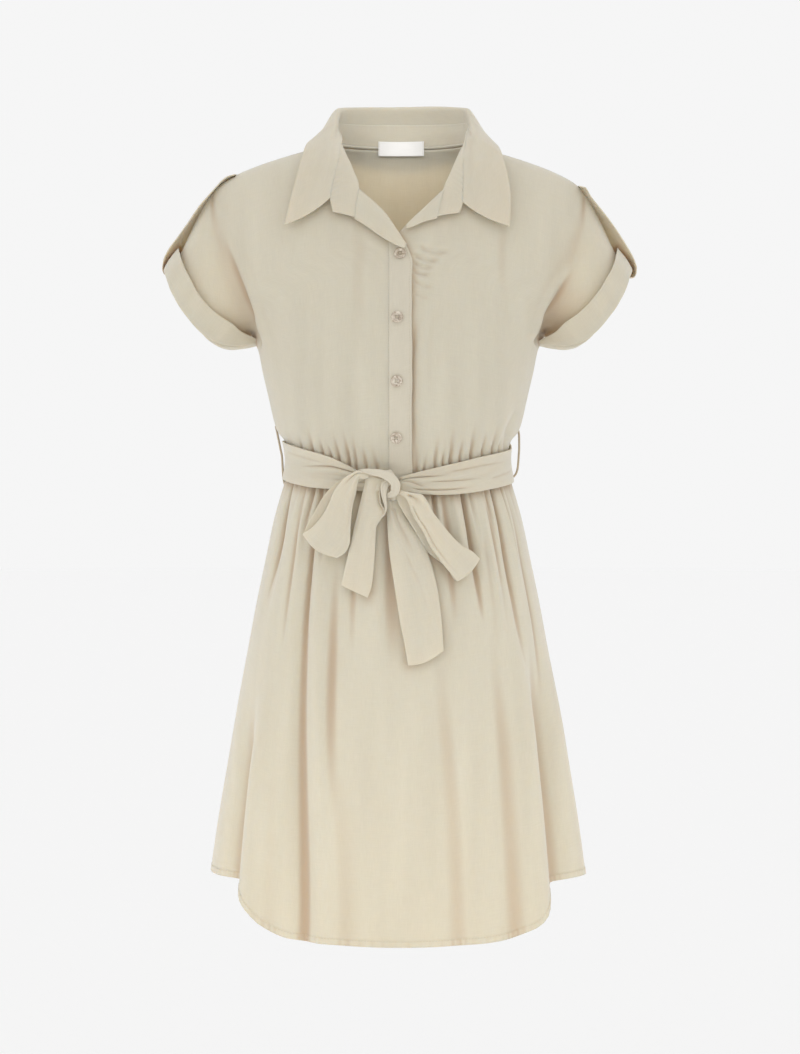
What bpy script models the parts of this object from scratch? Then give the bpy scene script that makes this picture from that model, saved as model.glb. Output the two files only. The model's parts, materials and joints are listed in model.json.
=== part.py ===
"""Shirt dress with a turned collar, cap sleeves, a gathered waist and a tied belt.

The dress stands filled out, hollow, as it is worn. +Z is up, the front faces -Y and +X
is the wearer's left. The origin is the middle of the neck at the height of the shoulder
points, where the wearer's shoulders carry it. Tables are in millimetres. "drop" is a
height below the origin, and "turn" runs from -1 at one side seam over 0 at the middle
to 1 at the other.
"""
import math

import bmesh
import bpy
import numpy as np

MM = 0.001

# Driving sizes, in millimetres.
CLOTH = 1.2            # wall of one layer of cloth
BELT_CLOTH = 1.8       # the belt is two layers
COLLAR_CLOTH = 1.5
GAP = 0.3              # between pieces that are sewn together
WAIST_DROP = 336.0     # the waist seam at the sides and the back
WAIST_DIP = 24.0       # how much lower that seam is in the middle of the front
BUTTON_WIDTH = 12.6
BUTTON_THICK = 2.4
JOIN_GAP = 1.9         # between the collar's stand and leaf, round their turned seam
ROLL_SHOULDER = 2.5    # how far below the top of the collar's roll its round sides start
SLEEVE_END_GAP = 2.0   # between the sleeve's end and the cuff's hidden layer
BAND_WIDTH = 26.0
BAND_TOP = -124.0      # height where the front band's top turns back as a rever
BAND_GAP = 0.6         # between the band and the panel it lies on
SHOULDER_ROLL = 170.0  # drop over which the chest comes forward from the shoulder
GATHER_COUNT = 7.5     # gathers from the middle of the dress to one side seam
GATHER_HEIGHT = 2.6
ROUNDNESS = 2.3        # power of the body's section, 2 for an ellipse and more for a box
RIM_ANGLE = math.radians(60)  # edges sharper than this, as on a wall's rim, look sharp

# Colours as linear red, green, blue.
CLOTH_COLOUR = (0.61, 0.57, 0.45)
BUTTON_COLOUR = (0.58, 0.50, 0.38)
LABEL_COLOUR = (0.87, 0.87, 0.85)


def table(names, *rows):
    """A short table, as a dictionary with one array for each named column."""
    return dict(zip(names.split(), np.array(rows, dtype=float).T))


# The form of the body of the dress: half its width, and how far its front and back
# stand off the plane of the side seams. Above drop 204, half is the fold between the
# body and the sleeve.
BODY = table(
    "drop half front back",
    (-10, 200, 94, 78),
    (40, 200, 94, 86),
    (85, 198, 98, 92),
    (115, 189, 104, 95),
    (145, 178, 111, 97),
    (170, 168, 117, 98),
    (195, 159, 121, 98),
    (204, 157, 122, 98),
    (216, 151, 123, 98),
    (240, 146, 123, 97),
    (270, 139, 118, 95),
    (292, 134, 111, 93),
    (304, 130, 105, 91),
    (316, 121, 98, 88),
    (335, 118, 92, 86),
    (354, 121, 98, 91),
    (378, 128, 105, 99),
    (400, 134, 111, 106),
    (443, 143, 120, 116),
    (486, 152, 127, 124),
    (529, 160, 132, 130),
    (594, 172, 137, 136),
    (659, 183, 141, 140),
    (724, 194, 145, 145),
    (774, 201, 148, 148),
    (850, 209, 152, 152),
)

# The top line of shoulder and sleeve, from the neck to the sleeve's end.
RIDGE = table(
    "x z",
    (76, 6),
    (100, -1),
    (133, -11),
    (162, -21.5),
    (186, -33),
    (197, -41.5),
    (209, -58),
    (219, -76),
    (228, -95),
    (235, -110),
    (241, -121.7),
)

# The neckline and front edge of each front, from the shoulder point to the waist.
FRONT_EDGE_RIGHT = table(
    "x z",
    (-76, 6),
    (-66, -14),
    (-54, -32),
    (-41, -48),
    (-27, -64),
    (-13, -78),
    (1, -99),
    (11, -118),
    (14.5, -132),
    (14.5, -215),
    (14.5, -359.2),
)
FRONT_EDGE_LEFT = table(
    "x z",
    (76, 6),
    (70, -14),
    (60, -33),
    (47, -51),
    (36, -63),
    (24, -75),
    (2, -97),
    (-7, -112),
    (-11, -132),
    (-11, -215),
    (-11, -359.4),
)

# The ring of the sleeve's lower end: its highest and lowest point, and its half depth.
SLEEVE_TOP = (248.5, -131.0)
SLEEVE_UNDER = (163.0, -207.5)
SLEEVE_DEPTH = 60.0
# How far the ring hangs below its chord, and the cuff's hidden and shown heights, at
# each angle round from the top.
SLEEVE_RING = table(
    "angle droop inside outside",
    (0, 0, 12, 26),
    (30, 5, 12, 26),
    (60, 15.5, 12, 26),
    (82, 22, 12, 26),
    (108, 25.5, 12, 26),
    (123, 23.5, 11, 26),
    (137, 18.5, 9, 21),
    (151, 10.5, 7, 13),
    (165, 4, 5, 6),
    (180, 0, 4, 2.5),
)
# The turned-up cuff's section: height up the sleeve as a share of the hidden height
# (below 0) or of the shown height (above 0), and distance off the sleeve.
CUFF_SECTION = (
    ("inside", 0.75, -1.5),
    ("inside", 0.35, -1.5),
    ("inside", 0.0, 0.3),
    ("outside", 0.0, 3.6),
    ("outside", 0.16, 5.2),
    ("outside", 0.55, 5.8),
    ("outside", 1.0, 5.0),
)

# The hem of the skirt's front and back, as a drop at each turn.
HEM_FRONT = table(
    "turn drop",
    (-1, 774),
    (-0.64, 776),
    (-0.57, 786),
    (-0.50, 802),
    (-0.41, 822),
    (-0.30, 833),
    (-0.16, 837),
    (0, 840),
    (0.16, 838),
    (0.30, 834),
    (0.41, 824),
    (0.47, 812),
    (0.55, 786),
    (0.62, 778),
    (1, 774),
)
HEM_BACK = table(
    "turn drop",
    (-1, 774),
    (-0.75, 781),
    (-0.5, 805),
    (-0.25, 832),
    (0, 841),
    (0.25, 832),
    (0.5, 805),
    (0.75, 781),
    (1, 774),
)

# Folds of the skirt: the turn at the waist and at the hem, the drops it starts and ends
# at, its height off the skirt (below 0 for a valley) and its half width in turns.
FOLDS_FRONT = table(
    "waist hem start end height width",
    (-0.72, -0.64, 345, 520, -6, 0.045),
    (-0.74, -0.64, 440, 900, -14, 0.070),
    (-0.62, -0.50, 440, 900, 11, 0.075),
    (-0.45, -0.25, 345, 900, -8, 0.045),
    (-0.33, -0.19, 400, 900, 4, 0.060),
    (-0.22, -0.15, 420, 660, -5, 0.040),
    (-0.03, 0.02, 350, 570, -5, 0.040),
    (0.12, 0.14, 500, 900, -4, 0.070),
    (0.22, 0.17, 350, 520, -4, 0.040),
    (0.37, 0.33, 345, 510, -6, 0.040),
    (0.40, 0.34, 480, 900, -4, 0.060),
    (0.60, 0.57, 345, 560, -6, 0.040),
    (0.56, 0.46, 450, 900, 12, 0.065),
    (0.69, 0.60, 450, 900, -17, 0.070),
    (0.86, 0.80, 480, 900, 5, 0.080),
)
FOLDS_BACK = table(
    "waist hem start end height width",
    (-0.78, -0.70, 360, 900, -6, 0.060),
    (-0.55, -0.47, 345, 900, 6, 0.080),
    (-0.40, -0.33, 380, 900, -8, 0.055),
    (-0.20, -0.16, 345, 640, -5, 0.045),
    (-0.05, -0.03, 420, 900, 6, 0.080),
    (0.14, 0.12, 350, 900, -7, 0.055),
    (0.33, 0.28, 345, 600, -5, 0.040),
    (0.44, 0.37, 400, 900, 7, 0.075),
    (0.62, 0.54, 350, 900, -8, 0.060),
    (0.80, 0.72, 345, 560, -5, 0.045),
)

# The collar's stations, from its right front end round the back to its left front end.
# neck is its seam to the dress, roll is the fold it turns over on, join is the seam
# between its stand and its leaf, edge is the leaf's outer edge.
COLLAR = table(
    "place neck_x neck_y neck_z roll_x roll_y roll_z join_x join_y join_z"
    " edge_x edge_y edge_z round bow",
    (0, -44, -90, -82, -52, -89, -80, -67, -87, -76, -67, -87, -76, 2, 0),
    (1, -41, -77, -50, -41, -77, -50, -70, -81, -59, -119, -83, -90, 3, 2),
    (2, -47, -63, -30, -47, -63, -30, -67, -70, -39, -113, -71, -62, 3.5, 4),
    (3, -55, -46, -11, -55, -46, -11, -63, -55, -17, -107, -59, -37, 3.5, 7),
    (4, -69, -17, 4, -61, -14, 10, -62, -16, 10, -103, -42, -16, 3, 8),
    (5, -75, 5, 10, -65, 13, 35, -69, 10, 24, -104, -2, 3, 6, 3),
    (6, -69, 27, 11, -62, 34, 49, -65, 31, 32, -96, 27, 1, 7, 0),
    (7, -46, 53, 11, -41, 53, 54, -43, 54, 33, -66, 59, -4, 5, 0),
    (8, 2, 67, 11, 4, 62, 55, 3, 65, 34, 3, 82, -14, 5, 0),
    (9, 50, 52, 11, 52, 53, 54, 51, 53, 33, 78, 53, -3, 5, 0),
    (10, 72, 27, 11, 73, 34, 50, 73, 31, 32, 105, 25, 1, 6, 0),
    (11, 77, 5, 10, 77, 13, 34, 77, 10, 24, 108, -4, 3, 5, 3),
    (12, 76, -17, 4, 72, -12, 15, 74, -15, 15, 111, -43, -16, 3, 8),
    (13, 64, -45, -12, 64, -45, -12, 69, -54, -17, 116, -59, -38, 3.5, 7),
    (14, 55, -63, -33, 55, -63, -33, 68, -70, -42, 119, -73, -63, 3.5, 4),
    (15, 48, -77, -50, 48, -77, -50, 67, -82, -64, 117, -85, -92, 3, 2),
    (16, 40, -90, -81, 48, -89, -79, 63, -88, -77, 63, -88, -77, 2, 0),
)

# The turned-back tops of the two front bands: the roll they turn on and their free edge.
REVER_RIGHT = table(
    "row roll_x roll_y roll_z edge_x edge_y edge_z",
    (0, -38, -75, -52.5, -42.5, -92, -84),
    (1, -26, -83, -64, -33, -97, -92),
    (2, -13.5, -91, -77.5, -19, -104, -102.5),
    (3, -2, -100, -95, -3, -113, -112.5),
    (4, 8.5, -111, -112.5, 6.5, -115.5, -116.5),
)
REVER_LEFT = table(
    "row roll_x roll_y roll_z edge_x edge_y edge_z",
    (0, 45, -72, -54.5, 37.5, -90, -82.5),
    (1, 34, -80, -65, 29.5, -93, -86),
    (2, 18, -88.5, -81, 16, -98, -92),
    (3, 9.5, -93.5, -90, 9, -97.5, -94.5),
)

# The belt round the waist: the height of its middle, half its width and how far it
# stands off the dress, from the knot round the right side, the back and the left side.
BELT = table(
    "round drop half off",
    (0, 363, 11, 6.0),
    (0.25, 356, 14, 5.0),
    (0.5, 347, 17, 4.2),
    (0.75, 339, 19, 3.2),
    (1, 334, 20, 1.6),
    (1.25, 333, 20, 4.0),
    (2, 333, 20, 4.0),
    (2.75, 334, 20, 4.0),
    (3, 339, 17, 1.6),
    (3.25, 345, 18, 3.2),
    (3.5, 351, 17, 4.2),
    (3.75, 357, 14, 5.0),
    (4, 362, 11, 6.0),
)

# The bow's stretches of the belt, as the two edges of the cloth in each row.
LOOP_RIGHT = table(
    "row a_x a_y a_z b_x b_y b_z",
    (0, -16, -122, -349, -16, -123, -364),
    (1, -36, -126, -347, -33, -127, -361),
    (2, -56, -125, -354, -43, -129, -366),
    (3, -63, -122, -373, -45, -129, -388),
    (4, -77, -119, -393, -48, -129, -412),
    (5, -97, -112, -411, -59, -127, -436),
    (6, -99, -108, -412.5, -61, -123, -438.5),
    (7, -97, -105, -410, -59, -119, -435),
    (8, -86, -106, -393, -53, -117, -410),
    (9, -68, -112, -368, -47, -119.5, -382),
    (10, -48, -116.5, -356, -38, -120, -370),
    (11, -17, -118, -352, -17, -118, -366),
)
LOOP_LEFT = table(
    "row a_x a_y a_z b_x b_y b_z",
    (0, 10, -121, -366, 9, -121, -378),
    (1, 24, -126, -376, 14, -127, -386),
    (2, 35.5, -129, -390.5, 20, -131, -400),
    (3, 45, -130, -404, 28, -133, -416),
    (4, 60, -128, -421, 42, -132, -440),
    (5, 85, -122, -440, 61, -127, -463),
    (6, 86.5, -118, -441.5, 61.5, -123, -465),
    (7, 84, -115, -439, 58, -120, -463),
    (8, 58, -119, -418, 36, -124, -432),
    (9, 36, -119, -395, 18, -123, -410),
    (10, 22, -116, -380, 6, -116, -391),
    (11, 11, -113, -368, 4, -113, -380.5),
)
TAIL_RIGHT = table(
    "row a_x a_y a_z b_x b_y b_z",
    (0, -35, -114, -372, -15.5, -115, -380),
    (1, -37.5, -114, -383, -15, -116, -390),
    (2, -42, -114, -400, -20, -118, -404),
    (3, -47, -117.5, -420, -25, -120, -425),
    (4, -53, -124, -442, -26, -125.5, -451),
    (5, -59, -129, -464, -29, -131, -475),
    (6, -57, -129.5, -466, -34, -131, -478),
)
TAIL_LEFT = table(
    "row a_x a_y a_z b_x b_y b_z",
    (0, -10, -109.5, -381, 5, -110, -382.5),
    (1, -11.5, -113.5, -400, 12.5, -115, -402),
    (2, -9.5, -122, -431, 27, -120.5, -426),
    (3, -2, -130.5, -472, 39.5, -129, -470),
    (4, 6, -136, -513, 44.5, -133, -500),
    (5, 10.5, -139.5, -540, 46, -137, -526),
    (6, 12.5, -140.5, -548, 43, -138.5, -537),
)
KNOT_CENTRE = (-4.0, -117.5, -363.5)
KNOT_HALF = (10.5, 6.5, 14.5)

# The tab over each sleeve: its middle line, and how far it tips its front edge up.
SLEEVE_TAB = table(
    "row x z tip",
    (0, 170, -22.0, 0),
    (1, 187, -29.5, 0),
    (2, 197, -37.5, 0.5),
    (3, 213, -58, 2),
    (4, 228, -78, 5),
    (5, 241, -97, 6),
    (6, 252, -112, 4),
    (7, 257, -126, 1),
    (8, 255.5, -135, 0),
    (9, 248, -139, 0),
    (10, 241, -134, 0),
)
TAB_HALF_WIDTH = 12.5

# The thin belt loops at the side seams.
BELT_LOOP_RIGHT = table(
    "row x z",
    (0, -132, -300),
    (1, -130.5, -309),
    (2, -128, -321),
    (3, -127, -334),
    (4, -128, -348),
    (5, -129, -359),
)
BELT_LOOP_LEFT = table(
    "row x z",
    (0, 132, -303),
    (1, 132.5, -312),
    (2, 132.5, -330),
    (3, 132, -348),
    (4, 127, -356),
)
BELT_LOOP_HALF_WIDTH = 3.0

# Where each button sits on the front band.
BUTTONS = table(
    "x drop",
    (2, 121.5),
    (-1, 189),
    (-1.5, 255.5),
    (-2, 314.0),
)

# The label in the back of the neck.
LABEL_WIDTH = 51.0
LABEL_TOP = 17.0
LABEL_BOTTOM = 0.5
LABEL_MIDDLE_X = 3.5


def smooth(keys, values, at):
    """Values read between their keys on a smooth curve that never overshoots them."""
    steps = np.diff(keys)
    rises = np.diff(values) / steps
    slopes = np.concatenate(([rises[0]], np.zeros(len(keys) - 2), [rises[-1]]))
    same_way = rises[:-1] * rises[1:] > 0
    both = np.where(same_way, rises[:-1] + rises[1:], 1.0)
    slopes[1:-1] = np.where(same_way, 2 * rises[:-1] * rises[1:] / both, 0.0)
    at = np.clip(at, keys[0], keys[-1])
    cell = np.clip(np.searchsorted(keys, at, side="right") - 1, 0, len(steps) - 1)
    part = (at - keys[cell]) / steps[cell]
    rise_start = slopes[cell] * steps[cell]
    rise_end = slopes[cell + 1] * steps[cell]
    change = values[cell + 1] - values[cell]
    cubic = rise_start + rise_end - 2 * change
    square = 3 * change - 2 * rise_start - rise_end
    return values[cell] + part * (rise_start + part * (square + part * cubic))


def read(rows, column, at):
    """One column of a table, read at values of the table's first column."""
    keys = next(iter(rows.values()))
    return smooth(keys, rows[column], np.asarray(at, dtype=float))


def along(rows, share):
    """The x and z at shares of the length of a line given by its points."""
    steps = np.hypot(np.diff(rows["x"]), np.diff(rows["z"]))
    length = np.concatenate(([0.0], np.cumsum(steps)))
    length /= length[-1]
    return smooth(length, rows["x"], share), smooth(length, rows["z"], share)


def ease(start, end, at):
    """0 before start, 1 after end, and a soft rise between them."""
    part = np.clip((at - start) / (end - start), 0.0, 1.0)
    return part * part * (3 - 2 * part)


def unit(ways):
    return ways / np.maximum(np.linalg.norm(ways, axis=-1, keepdims=True), 1e-9)


def normals(points, soften=False):
    """Unit normals of a grid of points, softened where a wall would cross in a fold."""
    normal = unit(np.cross(np.gradient(points, axis=0), np.gradient(points, axis=1)))
    for axis in (0, 1) if soften else ():
        count = normal.shape[axis]
        before = normal.take(np.maximum(np.arange(count) - 1, 0), axis=axis)
        after = normal.take(np.minimum(np.arange(count) + 1, count - 1), axis=axis)
        normal = unit(before + 2 * normal + after)
    return normal


def waist_seam(turn, facing):
    """The drop of the seam between bodice and skirt."""
    dip = WAIST_DIP if facing < 0 else 0.0
    return WAIST_DROP + dip * np.cos(turn * math.pi / 2) ** 2


def body(column, turn, drop, facing):
    """A column of the body's table, lowered in front with the dip of the waist."""
    dip = waist_seam(turn, facing) - WAIST_DROP
    return read(BODY, column, drop - dip * np.exp(-((drop - 352) / 60) ** 2))


def gathers(turn, drop, facing):
    """How far the gathers at the waist lift the cloth, more below the seam than above."""
    wander = turn + 0.018 * np.sin(9 * turn) + 0.010 * np.sin(23 * turn + 1)
    wave = np.cos(2 * math.pi * GATHER_COUNT * wander)
    below = drop - waist_seam(turn, facing)
    height = GATHER_HEIGHT * (1 - ease(0, 34, -below)) * (1 - ease(12, 70, below))
    return height * wave * (1 - np.abs(turn) ** 6)


def level_at_waist(way, turn, drop, facing):
    """Outward directions, turned level near the waist seam so its edge stays straight."""
    level = way.copy()
    level[..., 2] *= ease(0, 30, np.abs(drop - waist_seam(turn, facing)))
    return unit(level)


# ---------------------------------------------------------------- bodice

def sleeve_ring(angle, up, off):
    """A point of the sleeve's end, at degrees round from its top.

    up is a height along the sleeve and off a distance outwards. It gives x, the depth
    off the plane of the side seams, and z.
    """
    top = np.array(SLEEVE_TOP)
    under = np.array(SLEEVE_UNDER)
    middle = (top + under) / 2
    radius = np.linalg.norm(top - under) / 2
    outward = (top - middle) / radius
    down = np.array((outward[1], -outward[0]))
    if down[1] > 0:
        down = -down
    cosine = np.cos(np.radians(angle))
    sine = np.sin(np.radians(angle))
    lower = read(SLEEVE_RING, "droop", angle) - up
    x = middle[0] + outward[0] * (radius + off) * cosine + down[0] * lower
    z = middle[1] + outward[1] * (radius + off) * cosine + down[1] * lower
    return x, (SLEEVE_DEPTH + off) * sine, z


def outer_edge(share):
    """The bodice's outer edge: round the sleeve's end, then down the side seam."""
    angle = np.clip(share / 0.5, 0, 1) * 180
    ring_x, _, ring_z = sleeve_ring(angle, read(SLEEVE_RING, "inside", angle)
                                 + SLEEVE_END_GAP, 0)
    under_x, _, under_z = sleeve_ring(180, read(SLEEVE_RING, "inside", 180)
                                      + SLEEVE_END_GAP, 0)
    part = np.clip((share - 0.5) / 0.5, 0, 1)
    seam_z = under_z + (-(WAIST_DROP - GAP) - under_z) * part
    step = under_x - read(BODY, "half", -under_z)
    seam_x = read(BODY, "half", -seam_z) + step * (1 - part) ** 8
    return np.where(share < 0.5, ring_x, seam_x), np.where(share < 0.5, ring_z, seam_z)


def bodice_half(side, edge, edge_depth, rows, columns):
    """Half a bodice, from its inner edge out to the sleeve's end and the side seam.

    side is -1 for the wearer's right and 1 for the left. edge is its inner edge's table.
    edge_depth is None on a front, and on the back the depth of the neckline at each x.
    """
    facing = -1 if edge_depth is None else 1
    steps = np.linspace(0, 1, rows // 2 + 1)
    down = np.concatenate((0.5 * steps ** 1.15, 0.5 + 0.5 * steps[1:]))
    out = np.sin(np.linspace(0, math.pi / 2, columns + 1))
    v, u = np.meshgrid(down, out, indexing="ij")

    top = dict(x=RIDGE["x"] * side, z=RIDGE["z"])
    if edge_depth is not None:
        top = dict(x=np.concatenate(([0.0, 30 * side], top["x"])),
                   z=np.concatenate(([8.0, 7.6], top["z"])))
    top_x, top_z = along(top, u)
    inner_x, inner_z = along(edge, v)
    outer_x, outer_z = outer_edge(v)
    outer_x = outer_x * side
    waist_half = read(BODY, "half", WAIST_DROP)
    bottom_x = edge["x"][-1] + (side * waist_half - edge["x"][-1]) * u
    bottom_turn = np.arcsin(np.clip(bottom_x / waist_half, -1, 1)) / (math.pi / 2)
    bottom_z = GAP - waist_seam(bottom_turn, facing)
    corner_00 = (top["x"][0], top["z"][0])
    corner_01 = (top["x"][-1], top["z"][-1])
    corner_10 = (edge["x"][-1], bottom_z[0, 0])
    corner_11 = (side * waist_half, bottom_z[0, -1])

    def patch(up_line, low_line, in_line, out_line, axis):
        corners = ((1 - u) * (1 - v) * corner_00[axis] + u * (1 - v) * corner_01[axis]
                   + (1 - u) * v * corner_10[axis] + u * v * corner_11[axis])
        return (1 - v) * up_line + v * low_line + (1 - u) * in_line + u * out_line - corners

    x = patch(top_x, bottom_x, inner_x, outer_x, 0)
    z = patch(top_z, bottom_z, inner_z, outer_z, 1)

    column = "front" if facing < 0 else "back"
    rough_turn = np.arcsin(np.clip(x / read(BODY, "half", -z), -1, 1)) / (math.pi / 2)
    half = body("half", rough_turn, -z, facing)
    half = np.where(v >= 0.5, np.maximum(half, np.abs(outer_x)), half)
    across = np.clip(np.abs(x) / half, 0, 1)
    turn = np.sign(x) * np.arcsin(across) / (math.pi / 2)
    ridge = smooth(RIDGE["x"], RIDGE["z"], np.abs(x))
    fallen = np.clip((ridge - z) / SHOULDER_ROLL, 0, 1)
    rounding = np.sqrt(1 - (1 - fallen) ** 2)
    chest = body(column, turn, -z, facing) * (1 - across ** ROUNDNESS) ** (1 / ROUNDNESS)
    floor = 0 if edge_depth is None else edge_depth(x)
    torso = floor + np.maximum(chest - floor, 0) * rounding
    sleeve = SLEEVE_DEPTH * np.sin(math.pi * np.clip(v / 0.5, 0, 1)) * ease(0.45, 0.9, u)
    depth = (torso ** 3 + sleeve ** 3) ** (1 / 3)
    depth = np.where(u > 0.9999, np.where(v < 0.5, sleeve, 0.0), depth)

    points = np.stack([x, facing * depth, z], axis=2)
    out_way = normals(points, soften=True)
    out_way *= np.sign(np.sum(out_way[..., 1])) * facing
    out_way = level_at_waist(out_way, turn, -z, facing)
    lift = np.where(v > 0.5, gathers(turn, -z, facing), 0.0)
    if facing < 0:
        lift *= ease(16, 26, np.abs(x))
    return points + out_way * lift[..., None], out_way


def overlap_lift(points, height):
    """A front moved forward where it laps over the other front."""
    lapped = points.copy()
    nearness = ease(-48, -16, points[..., 0]) * ease(60, 100, -points[..., 2])
    lapped[..., 1] -= height * nearness
    return lapped


def neckline_depth(x):
    return 66 * np.sqrt(np.clip(1 - (x / 76) ** 2, 0, 1))


# ---------------------------------------------------------------- skirt

def skirt(facing, hem, folds, rows, columns):
    """The skirt's front (facing -1) or back (facing 1), with its gathers and folds."""
    turns = np.linspace(-1, 1, columns + 1)
    shares = np.linspace(0, 1, rows + 1) ** 1.15
    share, turn = np.meshgrid(shares, turns, indexing="ij")
    start = waist_seam(turn, facing) + GAP
    drop = start + (read(hem, "drop", turn) - start) * share
    column = "front" if facing < 0 else "back"
    power = 2 / (ROUNDNESS + 0.25 * ease(400, 700, drop))
    angle = turn * math.pi / 2
    half = body("half", turn, drop, facing)
    x = half * np.sign(angle) * np.abs(np.sin(angle)) ** power
    depth = body(column, turn, drop, facing) * np.abs(np.cos(angle)) ** power
    points = np.stack([x, facing * depth, -drop], axis=2)
    out_way = normals(points, soften=True)
    out_way *= np.sign(np.sum(out_way[..., 1])) * facing
    out_way = level_at_waist(out_way, turn, drop, facing)
    lift = gathers(turn, drop, facing)
    for waist, low, begin, end, height, width in zip(*folds.values()):
        middle = waist + (low - waist) * ease(WAIST_DROP, 840, drop)
        grow = ease(begin, begin + 0.45 * (min(end, 820) - begin), drop)
        fade = 1 - ease(end - 60, end, drop)
        lift += height * grow * fade * np.exp(-((turn - middle) / width) ** 2)
    lift *= 1 - np.abs(turn) ** 8
    return points + out_way * lift[..., None], out_way


def body_ring(round_way, drop, off):
    """A point off the dress's waist. round_way is 0 in front, 1 at the wearer's right."""
    angle = round_way * math.pi / 2
    turn = np.arcsin(np.sin(angle)) / (math.pi / 2)
    in_front = np.cos(angle) > 0
    half = np.where(in_front, body("half", turn, drop, -1), body("half", turn, drop, 1))
    depth = np.where(in_front, body("front", turn, drop, -1), body("back", turn, drop, 1))
    power = 2 / ROUNDNESS
    x = -(half + off) * np.sign(np.sin(angle)) * np.abs(np.sin(angle)) ** power
    y = -(depth + off) * np.sign(np.cos(angle)) * np.abs(np.cos(angle)) ** power
    return x, y


# ---------------------------------------------------------------- making solids

def material(name, colour, roughness):
    new = bpy.data.materials.new(name)
    new.use_nodes = True
    shader = new.node_tree.nodes["Principled BSDF"]
    shader.inputs["Base Color"].default_value = (*colour, 1)
    shader.inputs["Roughness"].default_value = roughness
    new.diffuse_color = (*colour, 1)
    return new


def add_object(name, bm, look):
    mesh = bpy.data.meshes.new(name)
    bm.to_mesh(mesh)
    bm.free()
    mesh.materials.append(look)
    mesh.shade_smooth()
    mesh.set_sharp_from_angle(angle=RIM_ANGLE)
    made = bpy.data.objects.new(name, mesh)
    bpy.context.scene.collection.objects.link(made)
    return made


def wall(name, outer, inner, look):
    """A closed wall of cloth between two grids of points, given in millimetres.

    Where the first and last columns of the grids meet, the wall is a tube.
    """
    rows, columns = outer.shape[0] - 1, outer.shape[1] - 1
    bm = bmesh.new()
    bmesh.ops.create_grid(bm, x_segments=columns, y_segments=rows, size=0.5)
    for vertex in bm.verts:
        column = round((vertex.co.x + 0.5) * columns)
        row = round((vertex.co.y + 0.5) * rows)
        vertex.co = outer[row, column] * MM
    bmesh.ops.remove_doubles(bm, verts=bm.verts, dist=0.00001)
    solid = bmesh.ops.extrude_face_region(bm, geom=bm.faces[:], use_keep_orig=True)
    outer_places = outer.reshape(-1, 3) * MM
    inner_places = inner.reshape(-1, 3) * MM
    for part in solid["geom"]:
        if isinstance(part, bmesh.types.BMVert):
            distance = np.sum((outer_places - np.array(part.co)) ** 2, axis=1)
            part.co = inner_places[int(np.argmin(distance))]
    bmesh.ops.recalc_face_normals(bm, faces=bm.faces)
    return add_object(name, bm, look)


def keep_side(points, facing):
    """Points kept on their own side of the plane of the side seams."""
    kept = points.copy()
    kept[..., 1] = facing * np.maximum(facing * kept[..., 1], GAP / 2)
    return kept


def panel(name, points, out_way, facing, look):
    """A bodice or skirt panel: its outer points, and a layer of cloth behind them."""
    inner = points - out_way * CLOTH
    return wall(name, keep_side(points, facing), keep_side(inner, facing), look)


def strip(name, points, thickness, look):
    """A free piece of cloth, half its thickness to each side of a grid of points."""
    way = normals(points) * thickness / 2
    return wall(name, points + way, points - way, look)


def ruled(rows, first, second, count, steps):
    """A grid of points between two edges of a table."""
    last = len(rows["row"]) - 1
    at = np.linspace(0, last, steps + 1)
    edges = [np.stack([read(rows, f"{edge}_{axis}", at) for axis in "xyz"], axis=1)
             for edge in (first, second)]
    share = np.linspace(0, 1, count + 1)[None, :, None]
    return edges[0][:, None, :] * (1 - share) + edges[1][:, None, :] * share


# ---------------------------------------------------------------- pieces

def make_bodice(cloth):
    right, right_way = bodice_half(-1, FRONT_EDGE_RIGHT, None, 12, 26)
    left, left_way = bodice_half(1, FRONT_EDGE_LEFT, None, 12, 26)
    right = overlap_lift(right, 2.4)
    panel("bodice_front_right", right, right_way, -1, cloth)
    panel("bodice_front_left", left, left_way, -1, cloth)

    spine = table("x z", (0, 8), (0, -60), (0, -140), (0, -215), (0, -335.7))
    half, way = bodice_half(1, spine, neckline_depth, 12, 22)
    flip = np.array((-1, 1, 1))
    whole = np.concatenate((half[:, :0:-1] * flip, half), axis=1)
    whole_way = np.concatenate((way[:, :0:-1] * flip, way), axis=1)
    panel("bodice_back", whole, whole_way, 1, cloth)
    return right


def make_skirt(cloth):
    for name, facing, hem, folds in (("skirt_front", -1, HEM_FRONT, FOLDS_FRONT),
                                     ("skirt_back", 1, HEM_BACK, FOLDS_BACK)):
        points, way = skirt(facing, hem, folds, 9, 60)
        panel(name, points, way, facing, cloth)


def depth_on(grid, x, z):
    """How far forward a grid of points is at a place, between its own points."""
    ordered = [row[np.argsort(row[:, 0])] for row in grid]
    y_at = [np.interp(x, row[:, 0], row[:, 1]) for row in ordered]
    z_at = [np.interp(x, row[:, 0], row[:, 2]) for row in ordered]
    return float(np.interp(-z, np.negative(z_at), y_at))


def make_band(front, cloth):
    """The band down the right front's edge, on that panel's own points moved out."""
    inner_x = front[-1, 0, 0] - BAND_WIDTH
    lines = []
    for row in front[front[:, 0, 2] < BAND_TOP]:
        inside = row[row[:, 0] > inner_x + 2]
        last = [np.interp(inner_x, row[::-1, 0], row[::-1, axis]) for axis in range(3)]
        lines.append(np.concatenate((inside, [last])))
    fewest = min(len(line) for line in lines)
    panel_points = np.array([np.concatenate((line[:fewest - 1], line[-1:])) for line in lines])
    forward = np.array((0.0, -1.0, 0.0))
    inner = panel_points + forward * BAND_GAP
    outer = inner + forward * CLOTH
    wall("front_band_right", outer, inner, cloth)
    return outer


def make_revers(cloth):
    for name, rows in (("rever_right", REVER_RIGHT), ("rever_left", REVER_LEFT)):
        strip(name, ruled(rows, "roll", "edge", 1, 6), CLOTH, cloth)


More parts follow.
